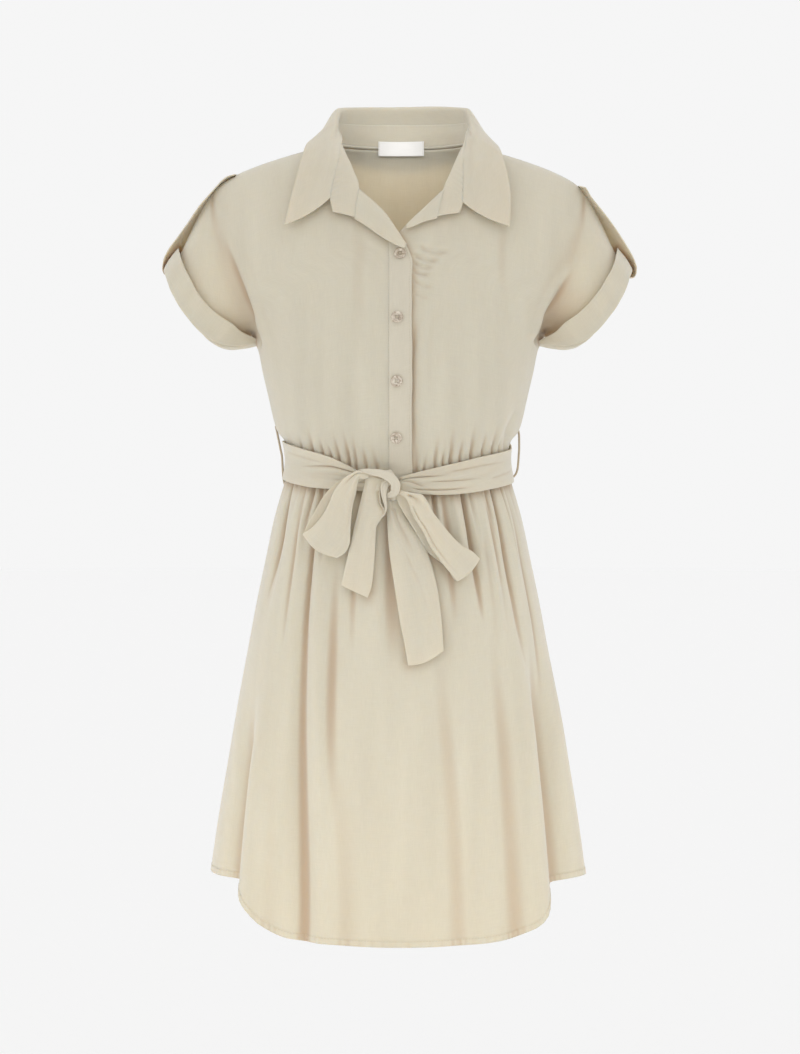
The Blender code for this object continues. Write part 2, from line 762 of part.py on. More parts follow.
def collar_lines(at):
    """The lines along the collar at its stations, by name, with the roll's two sides."""
    lines = {name: np.stack([read(COLLAR, f"{name}_{axis}", at) for axis in "xyz"], axis=1)
             for name in ("neck", "roll", "join", "edge")}
    run = np.gradient(lines["roll"], axis=0)
    outward = unit(np.stack([run[:, 1], -run[:, 0], np.zeros(len(at))], axis=1))
    outward *= np.sign(np.sum(outward * (lines["edge"] - lines["neck"])))
    across = outward * read(COLLAR, "round", at)[:, None]
    lower = np.array((0, 0, ROLL_SHOULDER))
    lines["roll_in"] = lines["roll"] - lower
    lines["roll_top"] = lines["roll"] + across / 2
    lines["roll_out"] = lines["roll"] + across - lower
    return lines


def between(first, second, share):
    return first * (1 - share) + second * share


def make_collar(cloth):
    """The stand goes from the neck to the join, and the leaf from there to its edge.

    In front the collar is turned outwards and lies open, and round the back the leaf
    rises to its roll and falls outside the stand.
    """
    line = collar_lines(np.linspace(0, 16, 37))
    stand = [between(line["neck"], line["join"], share) for share in (0, 0.5, 1)]
    strip("collar_stand", np.stack(stand, axis=1), COLLAR_CLOTH, cloth)

    at = np.linspace(1, 15, 33)
    line = collar_lines(at)
    rise = np.linalg.norm(line["join"] - line["roll"], axis=1)
    standing = (np.clip((rise - 2) / 6, 0, 1) * ((at > 4) & (at < 12)))[:, None]
    rows = [between(between(line["join"], line["edge"], share), line[name], standing)
            for share, name in ((0.18, "roll_in"), (0.3, "roll_top"), (0.42, "roll_out"))]
    rows.insert(0, line["join"] + unit(rows[0] - line["join"]) * JOIN_GAP)
    leaf = np.stack(rows + [between(rows[-1], line["edge"], 0.5), line["edge"]], axis=1)
    bow = read(COLLAR, "bow", at)[:, None] * np.array((0, -0.7, 0.7))
    for row, share in enumerate((0.3, 0.6, 0.8, 0.95, 0.8)):
        leaf[:, row] += bow * share
    strip("collar_leaf", leaf, COLLAR_CLOTH, cloth)


def make_cuffs(cloth):
    around = np.linspace(0, 360, 27)
    angle = np.where(around <= 180, around, 360 - around)
    front = np.where(around <= 180, -1.0, 1.0)
    for name, side in (("cuff_right", -1), ("cuff_left", 1)):
        lines = []
        for part, share, off in CUFF_SECTION:
            up = read(SLEEVE_RING, part, angle) * share
            off = off * (1 - 0.6 * ease(120, 180, angle)) if off > 0 else off
            x, depth, z = sleeve_ring(angle, up, off)
            lines.append(np.stack([side * x, front * depth, z], axis=1))
        points = np.stack(lines)
        points[:, -1] = points[:, 0]
        way = np.stack([np.gradient(points, axis=0), np.roll(points, -1, axis=1)
                        - np.roll(points, 1, axis=1)])
        way[1][:, 0] = way[1][:, -1] = points[:, 1] - points[:, -2]
        normal = np.cross(way[0], way[1])
        normal /= np.linalg.norm(normal, axis=2, keepdims=True)
        wall(name, points, points + normal * CLOTH * side, cloth)


def make_tabs(cloth):
    at = np.linspace(0, len(SLEEVE_TAB["row"]) - 1, 15)
    x, z, tip = (read(SLEEVE_TAB, column, at) for column in ("x", "z", "tip"))
    rise = np.stack([-np.gradient(z), np.gradient(x)], axis=1)
    rise /= np.linalg.norm(rise, axis=1, keepdims=True)
    for name, side in (("sleeve_tab_right", -1), ("sleeve_tab_left", 1)):
        lines = []
        for across in (-1, 0, 1):
            lift = -across * tip
            lines.append(np.stack([side * (x + rise[:, 0] * lift),
                                   np.full_like(x, across * TAB_HALF_WIDTH),
                                   z + rise[:, 1] * lift], axis=1))
        strip(name, np.stack(lines, axis=1), CLOTH, cloth)


def make_belt(cloth):
    at = np.linspace(0.03, 3.97, 53)
    middle, half, off = (read(BELT, column, at) for column in ("drop", "half", "off"))
    lines = []
    for across in (-1, 0, 1):
        drop = middle + across * half
        x, y = body_ring(at, np.clip(drop, 0, 900), off + 1.0)
        lines.append(np.stack([x, y, -drop], axis=1))
    strip("belt_round", np.stack(lines, axis=1), BELT_CLOTH, cloth)

    for name, rows in (("bow_loop_right", LOOP_RIGHT), ("bow_loop_left", LOOP_LEFT)):
        strip(name, ruled(rows, "a", "b", 2, 20), BELT_CLOTH, cloth)
    for name, rows in (("bow_tail_right", TAIL_RIGHT), ("bow_tail_left", TAIL_LEFT)):
        strip(name, ruled(rows, "a", "b", 2, 12), BELT_CLOTH, cloth)

    bm = bmesh.new()
    bmesh.ops.create_uvsphere(bm, u_segments=12, v_segments=7, radius=1)
    for vertex in bm.verts:
        for axis in range(3):
            vertex.co[axis] = (KNOT_CENTRE[axis] + KNOT_HALF[axis] * vertex.co[axis]) * MM
    add_object("bow_knot", bm, cloth)


def make_belt_loops(cloth):
    for name, rows in (("belt_loop_right", BELT_LOOP_RIGHT), ("belt_loop_left", BELT_LOOP_LEFT)):
        at = np.linspace(0, len(rows["row"]) - 1, 8)
        x, z = read(rows, "x", at), read(rows, "z", at)
        lines = [np.stack([x, np.full_like(x, width), z], axis=1)
                 for width in (-BELT_LOOP_HALF_WIDTH, BELT_LOOP_HALF_WIDTH)]
        strip(name, np.stack(lines, axis=1), CLOTH, cloth)


def make_buttons(band, look):
    """Four round buttons with a raised rim and four holes, flat on the band."""
    profile = ((0, 0), (0.92, 0), (1.0, 0.5), (0.9, 1.0), (0.66, 0.7), (0, 0.7))
    for number, (x, drop) in enumerate(zip(*BUTTONS.values()), start=1):
        above = depth_on(band, x, 4 - drop)
        below = depth_on(band, x, -4 - drop)
        lean = math.atan2(below - above, 8)
        back = min((above + below) / 2, depth_on(band, x, -drop)) - GAP - 0.4
        bm = bmesh.new()
        turned = [bm.verts.new((share * BUTTON_WIDTH / 2 * MM, -height * BUTTON_THICK * MM, 0))
                  for share, height in profile]
        edges = [bm.edges.new(pair) for pair in zip(turned, turned[1:])]
        bmesh.ops.spin(bm, geom=turned + edges, cent=(0, 0, 0), axis=(0, 1, 0),
                       angle=2 * math.pi, steps=12, use_merge=True)
        bmesh.ops.remove_doubles(bm, verts=bm.verts, dist=0.00001)
        bmesh.ops.recalc_face_normals(bm, faces=bm.faces)
        button = add_object(f"button_{number}", bm, look)
        button.location = (x * MM, back * MM, -drop * MM)
        button.rotation_euler = (lean, 0, 0)
        drill = button_drill(number)
        drill.location = button.location
        drill.rotation_euler = button.rotation_euler
        cut = button.modifiers.new("holes", "BOOLEAN")
        cut.operation = "DIFFERENCE"
        cut.object = drill


def button_drill(number):
    """The cutter of a button's four sewing holes, left out of the part."""
    bm = bmesh.new()
    for x in (-1.2, 1.2):
        for z in (-1.2, 1.2):
            hole = bmesh.ops.create_cone(bm, cap_ends=True, segments=6, radius1=0.8 * MM,
                                         radius2=0.8 * MM, depth=8 * MM)
            for vertex in hole["verts"]:
                vertex.co = (vertex.co.x + x * MM, vertex.co.z, vertex.co.y + z * MM)
    bmesh.ops.recalc_face_normals(bm, faces=bm.faces)
    mesh = bpy.data.meshes.new("button_drill")
    bm.to_mesh(mesh)
    bm.free()
    drill = bpy.data.objects.new(f"button_drill_{number}", mesh)
    drill.hide_render = True
    drill.display_type = "WIRE"
    bpy.context.scene.collection.objects.link(drill)
    return drill


def make_label(look):
    x = LABEL_MIDDLE_X + np.linspace(-LABEL_WIDTH / 2, LABEL_WIDTH / 2, 9)
    lines = []
    for z in (LABEL_TOP, LABEL_BOTTOM):
        lines.append(np.stack([x, 62.0 * np.sqrt(1 - (x / 82) ** 2), np.full_like(x, z)], axis=1))
    strip("neck_label", np.stack(lines), 0.8, look)


def main():
    for old in list(bpy.data.objects):
        bpy.data.objects.remove(old, do_unlink=True)
    cloth = material("cloth", CLOTH_COLOUR, 0.75)
    button_look = material("button", BUTTON_COLOUR, 0.25)
    label_look = material("label", LABEL_COLOUR, 0.6)
    right_front = make_bodice(cloth)
    make_skirt(cloth)
    band = make_band(right_front, cloth)
    make_revers(cloth)
    make_collar(cloth)
    make_cuffs(cloth)
    make_tabs(cloth)
    make_belt(cloth)
    make_belt_loops(cloth)
    make_buttons(band, button_look)
    make_label(label_look)


main()
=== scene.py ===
"""Looks of the shirt dress: slubbed cloth over each solid, with folds, sewing and trim.

Sizes and tables are in millimetres, and only the stage is in metres. "drop" is a height
below the shoulder points, and "turn" runs from -1 at one side seam over 0 at the middle
to 1 at the other.
"""
import json
import math

import bmesh
import bpy
import numpy as np
from mathutils import Matrix, Vector
from mathutils.kdtree import KDTree

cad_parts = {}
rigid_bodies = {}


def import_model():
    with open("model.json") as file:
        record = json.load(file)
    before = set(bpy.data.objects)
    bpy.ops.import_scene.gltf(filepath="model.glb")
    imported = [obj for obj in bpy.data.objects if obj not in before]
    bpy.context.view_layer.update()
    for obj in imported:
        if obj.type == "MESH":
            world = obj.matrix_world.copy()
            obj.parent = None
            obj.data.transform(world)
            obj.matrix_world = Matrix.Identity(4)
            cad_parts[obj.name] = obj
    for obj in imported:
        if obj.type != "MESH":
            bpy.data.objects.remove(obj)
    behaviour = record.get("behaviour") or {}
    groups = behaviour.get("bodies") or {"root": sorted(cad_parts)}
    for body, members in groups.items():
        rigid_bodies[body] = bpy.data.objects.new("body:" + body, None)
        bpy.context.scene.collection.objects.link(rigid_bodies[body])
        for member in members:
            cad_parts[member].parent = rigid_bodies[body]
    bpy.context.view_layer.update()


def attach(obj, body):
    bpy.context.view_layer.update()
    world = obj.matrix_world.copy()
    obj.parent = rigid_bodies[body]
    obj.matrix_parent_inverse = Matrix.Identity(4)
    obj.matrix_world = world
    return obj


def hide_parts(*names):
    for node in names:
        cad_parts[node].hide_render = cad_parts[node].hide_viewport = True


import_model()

MM = 0.001
CLOTH = 1.0            # wall of one layer of cloth
BOW_CLOTH = 1.2
BELT_CLOTH = 1.4
COLLAR_CLOTH = 1.4
GAP = 0.3              # between pieces that are sewn together
YARN = 0.62            # pitch of the weave

WAIST_DROP = 336.0
WAIST_DIP = 24.0       # how much lower the seam lies at the middle of the front
WAIST_MIDDLE = 352.0   # the drop at which the body's form is lowered most with the dip
WAIST_REACH = 60.0     # and how far above and below it the form still is
BELT_COVER = 19.0      # of the bodice above its seam, beside the knot
ROUNDNESS = 2.3        # power of the body's sections, 2 for an ellipse
SHOULDER_ROLL = 170.0  # height over which the body rounds up to the shoulder line
BACK_NECK_DEPTH = 66.0
NECK_HALF_WIDTH = 76.0
RUMPLE_WAVES = 14
FEW_PASSES = 3         # of smoothing, all over the bodice
MANY_PASSES = 110      # on the upper arm, where body and sleeve meet in one surface
HEM_DROP = 840
HEM_WIDTH = 6.0
HEM_EDGE_SHARES = (0.984, 0.9865, 0.9885, 0.992, 0.996, 1.0)
# Rows and columns of the panels' grids of points.
FRONT_GRID = (150, 156)
BACK_GRID = (140, 80)
SKIRT_GRID = (130, 260)

SLEEVE_TOP = (248.5, -131.0)      # x and z of the highest point of the sleeve's end
SLEEVE_UNDER = (163.0, -207.5)    # and of its lowest point
SLEEVE_DEPTH = 60.0
SLEEVE_END_GAP = 2.0
CUFF_TUCK = 9.0        # how much nearer to the body the cuff's lowest part is
TAB_HALF_WIDTH = 12.0

# The fold where the sleeve drops behind the body runs from a height on the upper arm to a
# place under it. On each piece it has a strength and a breadth, a height that it starts
# at, and a share of warm painted shade in its hollow.
SLEEVE_FOLD_START_X = 191
SLEEVE_FOLD_END = (151, -205)
SLEEVE_FOLD_INNER_X = 130
SLEEVE_FOLDS = {
    "right_front": (1.0, 1.0, -90, 0.3),
    "left_front": (1.4, 2.2, -128, 0.55),
    "back": (0.6, 2.2, -128, 0.0),
}

BAND_WIDTH = 26.0
BAND_TOP = -97.0
BAND_MIDDLE_X = 1.5
BAND_OVERLAP = 2.4     # how far the right front lies before the left front
BUTTON_WIDTH = 12.6
BUTTON_HEIGHT = 2.5
HOLE_OFFSET = 1.25
HOLE_RADIUS = 0.72
DISH_HEIGHT = 1.45     # of the button's middle, under its thread
THREAD_REACH = 1.77    # from the button's middle to its holes
THREAD_RADIUS = 0.2
THREAD_SIDES = 8
STITCHES_IN_A_MESH = 30
# How far each row of stitches lies in from the edge that it follows.
SEWN = dict(hem=6.2, band_fold=1.6, band_edge=2.4, rever=2.2, collar=2.6, tab=2.2, label=1.3)

ROLL_SHOULDER = 2.5    # how far the sides of the collar's roll lie below its top
LABEL_MIDDLE_X = 3.5
LABEL_WIDTH = 50.0
LABEL_TOP = 17.0
LABEL_BOTTOM = 0.8
LABEL_DEPTH = 61.6     # behind the side seams, at its middle
LABEL_BEND = 82.0      # half width of the ellipse that the label lies on
DEEPEST_BELT_CREASE = 2.6
BELT_LOOP_HALF_WIDTH = 3.0
BELT_LOOP_HALF_THICKNESS = 1.15

FORWARD = np.array((0.0, -1.0, 0.0))
LEVEL = np.array((1, 1, 0))
COLLAR_MIDDLE = np.array((3, 0, 0))

LINEN_LIGHT = (0.690, 0.630, 0.510)
LINEN_DARK = (0.650, 0.590, 0.474)
# Warm brown of the painted shade in folds and in gaps under close pieces.
LINEN_PAINTED_SHADE = (0.450, 0.315, 0.205)
THREAD = (0.60, 0.53, 0.40)
# Shares of painted shade: the most in a fold, and all over the belt loops.
DEEPEST_PAINTED_SHADE = 0.70
BELT_LOOP_PAINTED_SHADE = 0.6

FLOOR_HEIGHT = -1.3
FLOOR_RADIUS = 60
SKY_STRENGTH = 0.92
CAMERA_PLACE = (0, -3.2, -0.407)
CAMERA_LENS = 133.33
CAMERA_SHIFT = 0.0025
# Name, place, aim, power and size of each broad lamp.
AREA_LAMPS = (
    ("key", (-0.6, -3.3, 0.2), (0, 0, -0.4), 0.5, 1.6),
    ("low", (-0.3, -2.6, -1.5), (0, 0, -0.8), 20, 1.2),
)
# Name, place, aim, power, softness and cone in degrees of each narrow lamp, and what it
# lights.
SPOT_LAMPS = (
    ("neck", (0, -2.2, 0.3), (0, 0.06, 0.008), 78, 0.04, 3.1, "inside_the_neck"),
    ("skirt", (0, -3.0, -0.75), (0, -0.1, -0.72), 22, 0.3, 16.5, "dress"),
    ("right_flank", (-2.2, -1.6, -0.8), (-0.15, -0.05, -0.72), 46, 0.3, 14, "dress"),
    ("left_flank", (2.2, -1.6, -0.8), (0.15, -0.05, -0.72), 36, 0.3, 14, "dress"),
)

# The columns of tables that are alike.
REVER_COLUMNS = "roll_x roll_y roll_z edge_x edge_y edge_z"
TAB_COLUMNS = "front_x front_z back_x back_z"
DRAPE_COLUMNS = "from_x from_z to_x to_z height width"
FOLD_COLUMNS = "waist hem start end height width"
STRIP_COLUMNS = "a_x a_y a_z b_x b_y b_z crown sag"
CREASE_COLUMNS = "begin end side_begin side_end height width"
STRAP_COLUMNS = "x y z half deep"


def table(names, text):
    """A table written out as text, as a dictionary with one array for each named column."""
    rows = np.array([line.split() for line in text.strip().splitlines()], dtype=float)
    return dict(zip(names.split(), rows.T))


def numbered(names, text):
    """A table with one more column before the others, "row", which counts its rows."""
    return table(f"row {names}", "\n".join(
        f"{row} {line}" for row, line in enumerate(text.strip().splitlines())))


# The form of the body of the dress: half its width, and how far its front and back
# stand off the plane of the side seams. Above drop 204, half is the fold between the
# body and the sleeve.
BODY = table("drop half front back", """
-10 200  94  78
 40 200  94  86
 85 198  98  92
115 189 104  95
145 178 111  97
170 168 117  98
195 159 121  98
204 157 122  98
216 151 123  98
240 146 123  97
270 139 118  95
292 134 111  93
304 130 105  91
316 121  98  88
335 118  92  86
354 121  98  91
378 128 105  99
400 134 111 106
443 143 120 116
486 152 127 124
529 160 132 130
594 172 137 136
659 183 141 140
724 194 145 145
774 201 148 148
850 209 152 152
""")
# The middle line of the back, and the back's edge beside the neck.
SPINE = table("x z", """
0    8
0  -60
0 -140
0 -215
0 -336
""")
BACK_NECK = table("x z", """
 0 8
30 7.6
""")

# The top line of shoulder and sleeve, from the neck to the sleeve's end.
RIDGE = table("x z", """
 76      6
100     -1
133    -11
162  -21.5
186    -33
197  -41.5
209    -58
219    -76
228    -95
235   -110
241 -121.7
""")

# The neckline and front edge of each front, from the shoulder point to the waist.
FRONT_EDGE_RIGHT = table("x z", """
 -76      6
 -66    -14
 -54    -32
 -41    -48
 -27    -64
 -13    -78
   1    -99
  11   -118
14.5   -132
14.5   -215
14.5 -359.2
""")
FRONT_EDGE_LEFT = table("x z", """
 76      6
 70    -14
 60    -33
 47    -51
 36    -63
 24    -75
  2    -97
 -7   -112
-11   -132
-11   -215
-11 -359.4
""")

# How far the ring of the sleeve's end hangs below its chord, and the cuff's hidden and
# shown heights, at each angle round from the top.
SLEEVE_RING = table("angle droop inside outside", """
  0    0 12  26
 30    5 12  26
 60 15.5 12  26
 82   22 12  26
108 25.5 12  26
123 23.5 11  26
137 18.5  9  21
151 10.5  8  14
165    4  7   8
180    0  6 3.5
""")
# The hem of the skirt's front and back, as a drop at each turn.
HEM_FRONT = table("turn drop", """
   -1 774
-0.64 776
-0.57 786
 -0.5 802
-0.41 822
 -0.3 833
-0.16 837
    0 840
 0.16 838
  0.3 834
 0.41 824
 0.47 812
 0.55 786
 0.62 778
    1 774
""")
HEM_BACK = table("turn drop", """
   -1 774
-0.75 781
 -0.5 805
-0.25 832
    0 841
 0.25 832
  0.5 805
 0.75 781
    1 774
""")

# The collar's stations, from its right front end round the back to its left front end.
# neck is its seam to the dress, roll is the fold it turns over on, join is the seam
# between its stand and its leaf, edge is the leaf's outer edge.
COLLAR = table("place neck_x neck_y neck_z roll_x roll_y roll_z join_x join_y join_z"
               " edge_x edge_y edge_z round bow", """
    0   -44 -90  -82   -52 -89  -80   -67   -87  -76    -67   -87   -76   2 0
    1   -41 -77  -50   -41 -77  -50   -70   -81  -59   -119   -83   -90   3 2
    2   -47 -63  -30   -47 -63  -30   -67   -70  -39   -113   -71   -62 3.5 4
    3   -55 -46  -11   -55 -46  -11   -63   -55  -17   -107   -59   -37 3.5 7
  3.5 -58.5 -33 -2.5 -58.5 -33 -2.5 -61.5   -37 -2.5 -104.5   -51   -26 3.2 8
 3.75   -60 -25  1.5   -60 -25  1.5 -60.5 -26.5    4   -103 -46.5 -20.5   3 8
    4   -64 -17    5   -61 -14   10   -61   -16   10 -101.5   -42   -15   3 8
    5   -74   5   10   -65  13   35   -66    11   25  -95.5    -3     6   6 2
    6   -69  27   11   -62  34   49   -65    31   32    -90    27     3   7 0
    7   -46  53   11   -41  53   54   -43    54   33    -66    59    -4   5 0
    8     2  67   11     4  62   55     3    65   34      3    82   -14   5 0
    9    50  52   11    52  53   54    51    53   33     78    53    -3   5 0
   10    72  27   11    73  34   50    73    31   32    101    25     3   6 0
   11    78   5   10  77.5  13   34  76.5    11   25  105.5    -4     4   5 2
   12    75 -17    4    72 -12   15  73.5   -15   15    111   -43   -16   3 8
12.25  70.5 -24    1  70.5 -24    1  71.5   -25    6    112   -47   -21   3 8
 12.5  67.5 -31 -3.5  67.5 -31 -3.5    70   -35 -2.5  113.5   -51   -26 3.2 8
   13    64 -45  -12    64 -45  -12    69   -54  -17    116   -59   -38 3.5 7
   14    55 -63  -33    55 -63  -33    68   -70  -42    119   -73   -63 3.5 4
   15    48 -77  -50    48 -77  -50    67   -82  -64    117   -85   -92   3 2
   16    40 -90  -81    48 -89  -79    63   -88  -77     63   -88   -77   2 0
""")

# The turned-back tops of the two front bands: the roll they turn on and their free edge.
REVER_RIGHT = numbered(REVER_COLUMNS, """
  -42  -77  -50.5 -45.5  -91.8  -83.5
  -26  -83    -64   -33    -97    -92
-13.5  -91  -77.5   -19   -104 -102.5
   -2 -100    -95    -3   -113 -112.5
  8.5 -111 -112.5   6.5 -115.5 -116.5
""")
REVER_LEFT = numbered(REVER_COLUMNS, """
 49 -77.5 -50.5   41 -91.5   -83
 34   -80   -65 29.5   -93   -86
 18 -88.5   -81   16   -98   -92
9.5 -93.5   -90    9 -97.5 -94.5
""")

# The belt round the waist: the height of its middle, half its width and how far it
# stands off the dress, from the knot round the right side, the back and the left side.
BELT = table("round drop half off", """
   0   363  7.0 7.6
 0.1   361  8.5 7.2
0.17   359 10.0 6.4
0.25   355 13.5 5.4
0.36   350 17.0 4.6
 0.5   346 19.0 4.2
0.75   339 20.0 3.2
   1   334 20.0 1.6
1.25   333 20.0 4.0
   2   333 20.0 4.0
2.75   334 20.0 4.0
   3   339 17.5 1.6
3.25   344 18.0 3.2
 3.5   350 18.0 4.2
 3.7   356 16.5 4.8
3.82   359 14.5 5.6
 3.9 360.5 12.0 6.8
3.95   361  9.5 7.4
   4   362  7.0 7.8
""")

# The tab over each sleeve, from its sewn end down and round the cuff's fold: its front edge
# stands off the sleeve, its back edge lies on it.
TAB_RIGHT = numbered(TAB_COLUMNS, """
  176  -27.6   172 -26.8
183.7  -29.8   180 -31.0
189.6    -34   187 -34.8
  197    -42   195 -41.6
214.4    -62   211   -62
225.3    -78   219   -77
238.1    -96   228   -95
248.1   -110   234  -109
252.4   -120   243  -117
253.5   -129 250.5  -127
250.5 -135.5   250  -133
  244   -134   244  -131
""")
TAB_LEFT = numbered(TAB_COLUMNS, """
  196  -40.2   193  -38.8
201.5  -41.5 198.5  -43.0
  208  -51.5   205    -52
219.9  -66.4   213  -65.5
231.8  -82.2   221  -80.5
241.7  -97.1   229  -96.5
249.6   -110 234.5 -109.5
254.6   -120 243.5 -117.5
256.9   -128 250.5   -127
256.3 -134.7 251.5   -133
252.6   -139   249   -136
  246   -137   244   -133
""")

# The thin belt loops at the side seams.
BELT_LOOP_RIGHT = numbered("x z", """
  -132 -298
-129.7 -309
-127.3 -321
-125.2 -332
-124.6 -343
-123.8 -354
-121.6 -364
""")
BELT_LOOP_LEFT = numbered("x z", """
129.5   -301
130.8   -309
130.9   -320
130.3   -332
129.3   -343
127.4 -349.5
124.6   -353
""")

# Where each button sits on the front band.
BUTTONS = table("x drop", """
   2 121.5
  -1   189
-1.5 255.5
  -2 314.0
""")

# Short folds that rise from the waist seam of the bodice: where each starts on the seam,
# how far it leans over its length, its length, depth and half width.
PUCKERS = table("x lean length depth width", """
-113 -5 22 2.0 2.6
-102 -4 26 2.4 2.6
 -90 -8 40 3.2 3.0
 -79 -5 28 2.6 2.4
 -70 -6 24 2.2 2.2
 -62 -8 36 3.0 2.8
 -51 -9 44 3.4 3.0
 -44 -6 40 2.8 2.4
 -33 -5 26 2.2 2.4
 -20 -8 34 3.2 3.4
  19  1 40 3.0 3.0
  27  2 26 2.4 2.2
  39  3 34 2.6 2.6
  47  3 24 2.2 2.0
  55  4 40 3.2 2.8
  65  4 26 2.4 2.2
  77  5 42 3.2 2.8
  89  6 30 2.6 2.4
 100  8 38 3.0 2.6
 107  9 28 2.2 2.2
 114  6 30 2.4 2.4
""")
# Soft folds of the bodice's fronts, as lines from one place to another.
DRAPES_RIGHT = table(DRAPE_COLUMNS, """
-112  -60 -128 -230 -1.2 13
 -98  -95 -110 -250  1.2 14
 -60  -92  -70 -230  1.3 18
 -32  -90  -38 -200 -0.8 12
-132 -236  -96 -300 -0.9 12
-148 -170 -120 -232 -1.2  8
""")
DRAPES_LEFT = table(DRAPE_COLUMNS, """
 18 -112  56 -121 -2.2 2.8
 14 -122  44 -130 -2.4 2.4
 14 -131  38 -137 -2.0 2.2
 14 -140  34 -144 -2.2 2.2
 14 -150  38 -157 -1.6 2.6
 14 -163  34 -168 -1.2 2.6
 60  -95  66 -200  1.4  14
112  -70 126 -230 -1.6  10
 96 -100 108 -250  1.4  12
 30 -170  26 -300  1.3   8
 20 -190  18 -335 -2.6 4.5
131 -278 113 -326 -5.0 4.5
""")
DRAPES_BACK = table(DRAPE_COLUMNS, """
-60 -60 -96 -270 -1.6 14
 66 -60  92 -280 -1.6 14
  8 -90   2 -320  1.6 18
""")
# Folds of the skirt: the turn at the waist and at the hem, the drops it starts and ends
# at, its height off the skirt (below 0 for a valley) and its half width in turns.
FOLDS_FRONT = table(FOLD_COLUMNS, """
 -0.72 -0.64 345 520   -6 0.045
 -0.74 -0.64 560 900  -14  0.08
 -0.62  -0.5 560 900   11 0.085
 -0.45 -0.25 345 900   -8  0.05
 -0.45 -0.25 345 900 -2.2 0.018
 -0.38 -0.19 350 900  3.5  0.05
 -0.33 -0.19 400 900    4  0.06
 -0.27 -0.16 420 720 -4.5  0.03
 -0.03  0.02 350 570   -5  0.03
  0.12  0.14 500 900   -4  0.05
  0.22  0.17 350 520   -5 0.024
 0.355  0.32 345 510   -7 0.024
   0.4  0.34 480 900   -4  0.05
 0.575  0.55 345 580   -6 0.028
  0.56  0.46 500 900   11 0.075
  0.69   0.6 500 900  -16  0.08
  0.86   0.8 480 900    5  0.08
 -0.56  -0.4 350 560   -3  0.02
 -0.52 -0.36 350 480  2.5  0.02
 -0.36 -0.26 350 470   -3 0.016
 -0.18  -0.1 350 560   -3  0.02
  0.08  0.06 350 470   -3 0.016
  0.29  0.25 350 500  2.5 0.022
  0.46  0.42 350 560  3.0 0.024
   0.5  0.45 350 480   -3 0.016
  0.66   0.6 350 500  2.5 0.024
  0.74  0.68 350 620 -3.5 0.022
-0.745 -0.68 300 500   -6 0.016
-0.435  -0.3 290 560   -7 0.015
  -0.5 -0.42 300 440   -4 0.012
 0.165  0.16 290 470   -6 0.012
 0.215   0.2 300 430   -3 0.012
  0.35  0.33 290 520   -7 0.014
 0.395  0.37 300 440 -3.5 0.012
  0.52   0.5 300 450   -4 0.012
 0.585  0.55 290 500   -6 0.014
  0.68  0.64 300 460   -4 0.014
""")
FOLDS_BACK = table(FOLD_COLUMNS, """
-0.78  -0.7 360 900 -6  0.05
-0.66 -0.58 350 520 -4 0.022
-0.55 -0.47 345 900  6  0.07
 -0.4 -0.33 350 900 -8  0.04
-0.29 -0.24 350 480 -4 0.018
 -0.2 -0.16 345 640 -5  0.03
-0.05 -0.03 420 900  6  0.07
 0.04  0.03 350 520 -4  0.02
 0.14  0.12 350 900 -7  0.04
 0.24   0.2 350 460  3 0.018
 0.33  0.28 345 600 -5 0.026
 0.44  0.37 400 900  7 0.065
 0.52  0.46 350 500 -4  0.02
 0.62  0.54 350 900 -8 0.045
  0.8  0.72 345 560 -5  0.03
""")
# The gathers all round the waist: their height, how many waves there are in a quarter of
# the way round and their shift, and how far below the seam they stay full and are gone.
GATHERS = table("height waves shift full gone", """
0.7 9.5 0 12 90
0.6  21 2  8 40
""")

# The bow's stretches of the belt, as the two edges of the cloth in each row, and how far
# the cloth crowns between them.
LOOP_RIGHT = numbered(STRIP_COLUMNS, """
  -31   -120   -350   -31   -120 -356.5 0.5   0
-40.5   -124   -349   -41   -124   -357   1   0
  -50 -126.5 -352.5 -42.5   -126 -362.5 1.5   0
  -58 -127.5 -359.5 -43.5   -128   -371   2   0
-66.5   -127   -371   -46   -129 -379.5 2.5   0
-71.5   -126 -383.5   -48   -130   -391   3   0
  -80   -124 -397.5 -49.5 -130.5 -407.5   3   0
-90.5   -121 -408.5   -50 -129.5   -422 2.5   1
  -98   -118   -413   -55 -127.5   -434   2 3.5
  -99 -115.5 -414.5   -63 -124.5 -438.5   1   5
  -98 -112.5   -413   -58 -120.5   -434 0.5 3.5
-93.5   -111   -402   -55   -118   -421 0.5   0
  -87   -112 -391.5   -56 -117.5   -401 0.5   0
-79.5 -113.5   -378   -53   -118   -385 0.5   0
  -68   -115   -364   -48   -119   -370 0.5   0
  -54   -116   -355   -42 -118.5   -361 0.5   0
  -31   -117   -350   -31   -117 -356.5   0   0
  -14   -112   -354   -14   -112   -362   0   0
""")
LOOP_LEFT = numbered(STRIP_COLUMNS, """
  -4   -120 -362.5   -4   -120   -371 0.5 0
   4   -124 -369.5    4 -124.5   -374   1 0
14.5 -126.5   -372    8   -127   -377 1.5 0
  24 -128.5 -373.5 11.5 -129.5   -383 2.5 0
30.5   -130 -381.5   14   -131   -391 2.5 0
36.5 -130.5 -392.5   19   -132 -400.5 2.5 0
45.5 -130.5   -404 26.5   -133 -412.5 2.5 0
  54   -130 -414.5   33   -133   -426 2.5 0
65.5   -128   -426   42   -132   -439 2.5 0
  77   -125 -432.5   52   -130   -452   2 1
84.5 -121.5   -440 61.5 -126.5   -463   1 2
82.5   -118   -438 58.5   -123 -461.5 0.5 1
72.5 -116.5   -429   50 -121.5 -448.5 0.5 0
  54   -117 -416.5   30 -122.5   -432 0.5 0
43.5   -118   -404   21   -123 -416.5 0.5 0
  31   -118 -391.5   12 -122.5   -402 0.5 0
18.5 -117.5   -382  4.5   -121   -390 0.5 0
  10   -117   -375 -0.5   -119   -380 0.5 0
  -2   -116   -365   -4   -116   -371   0 0
""")
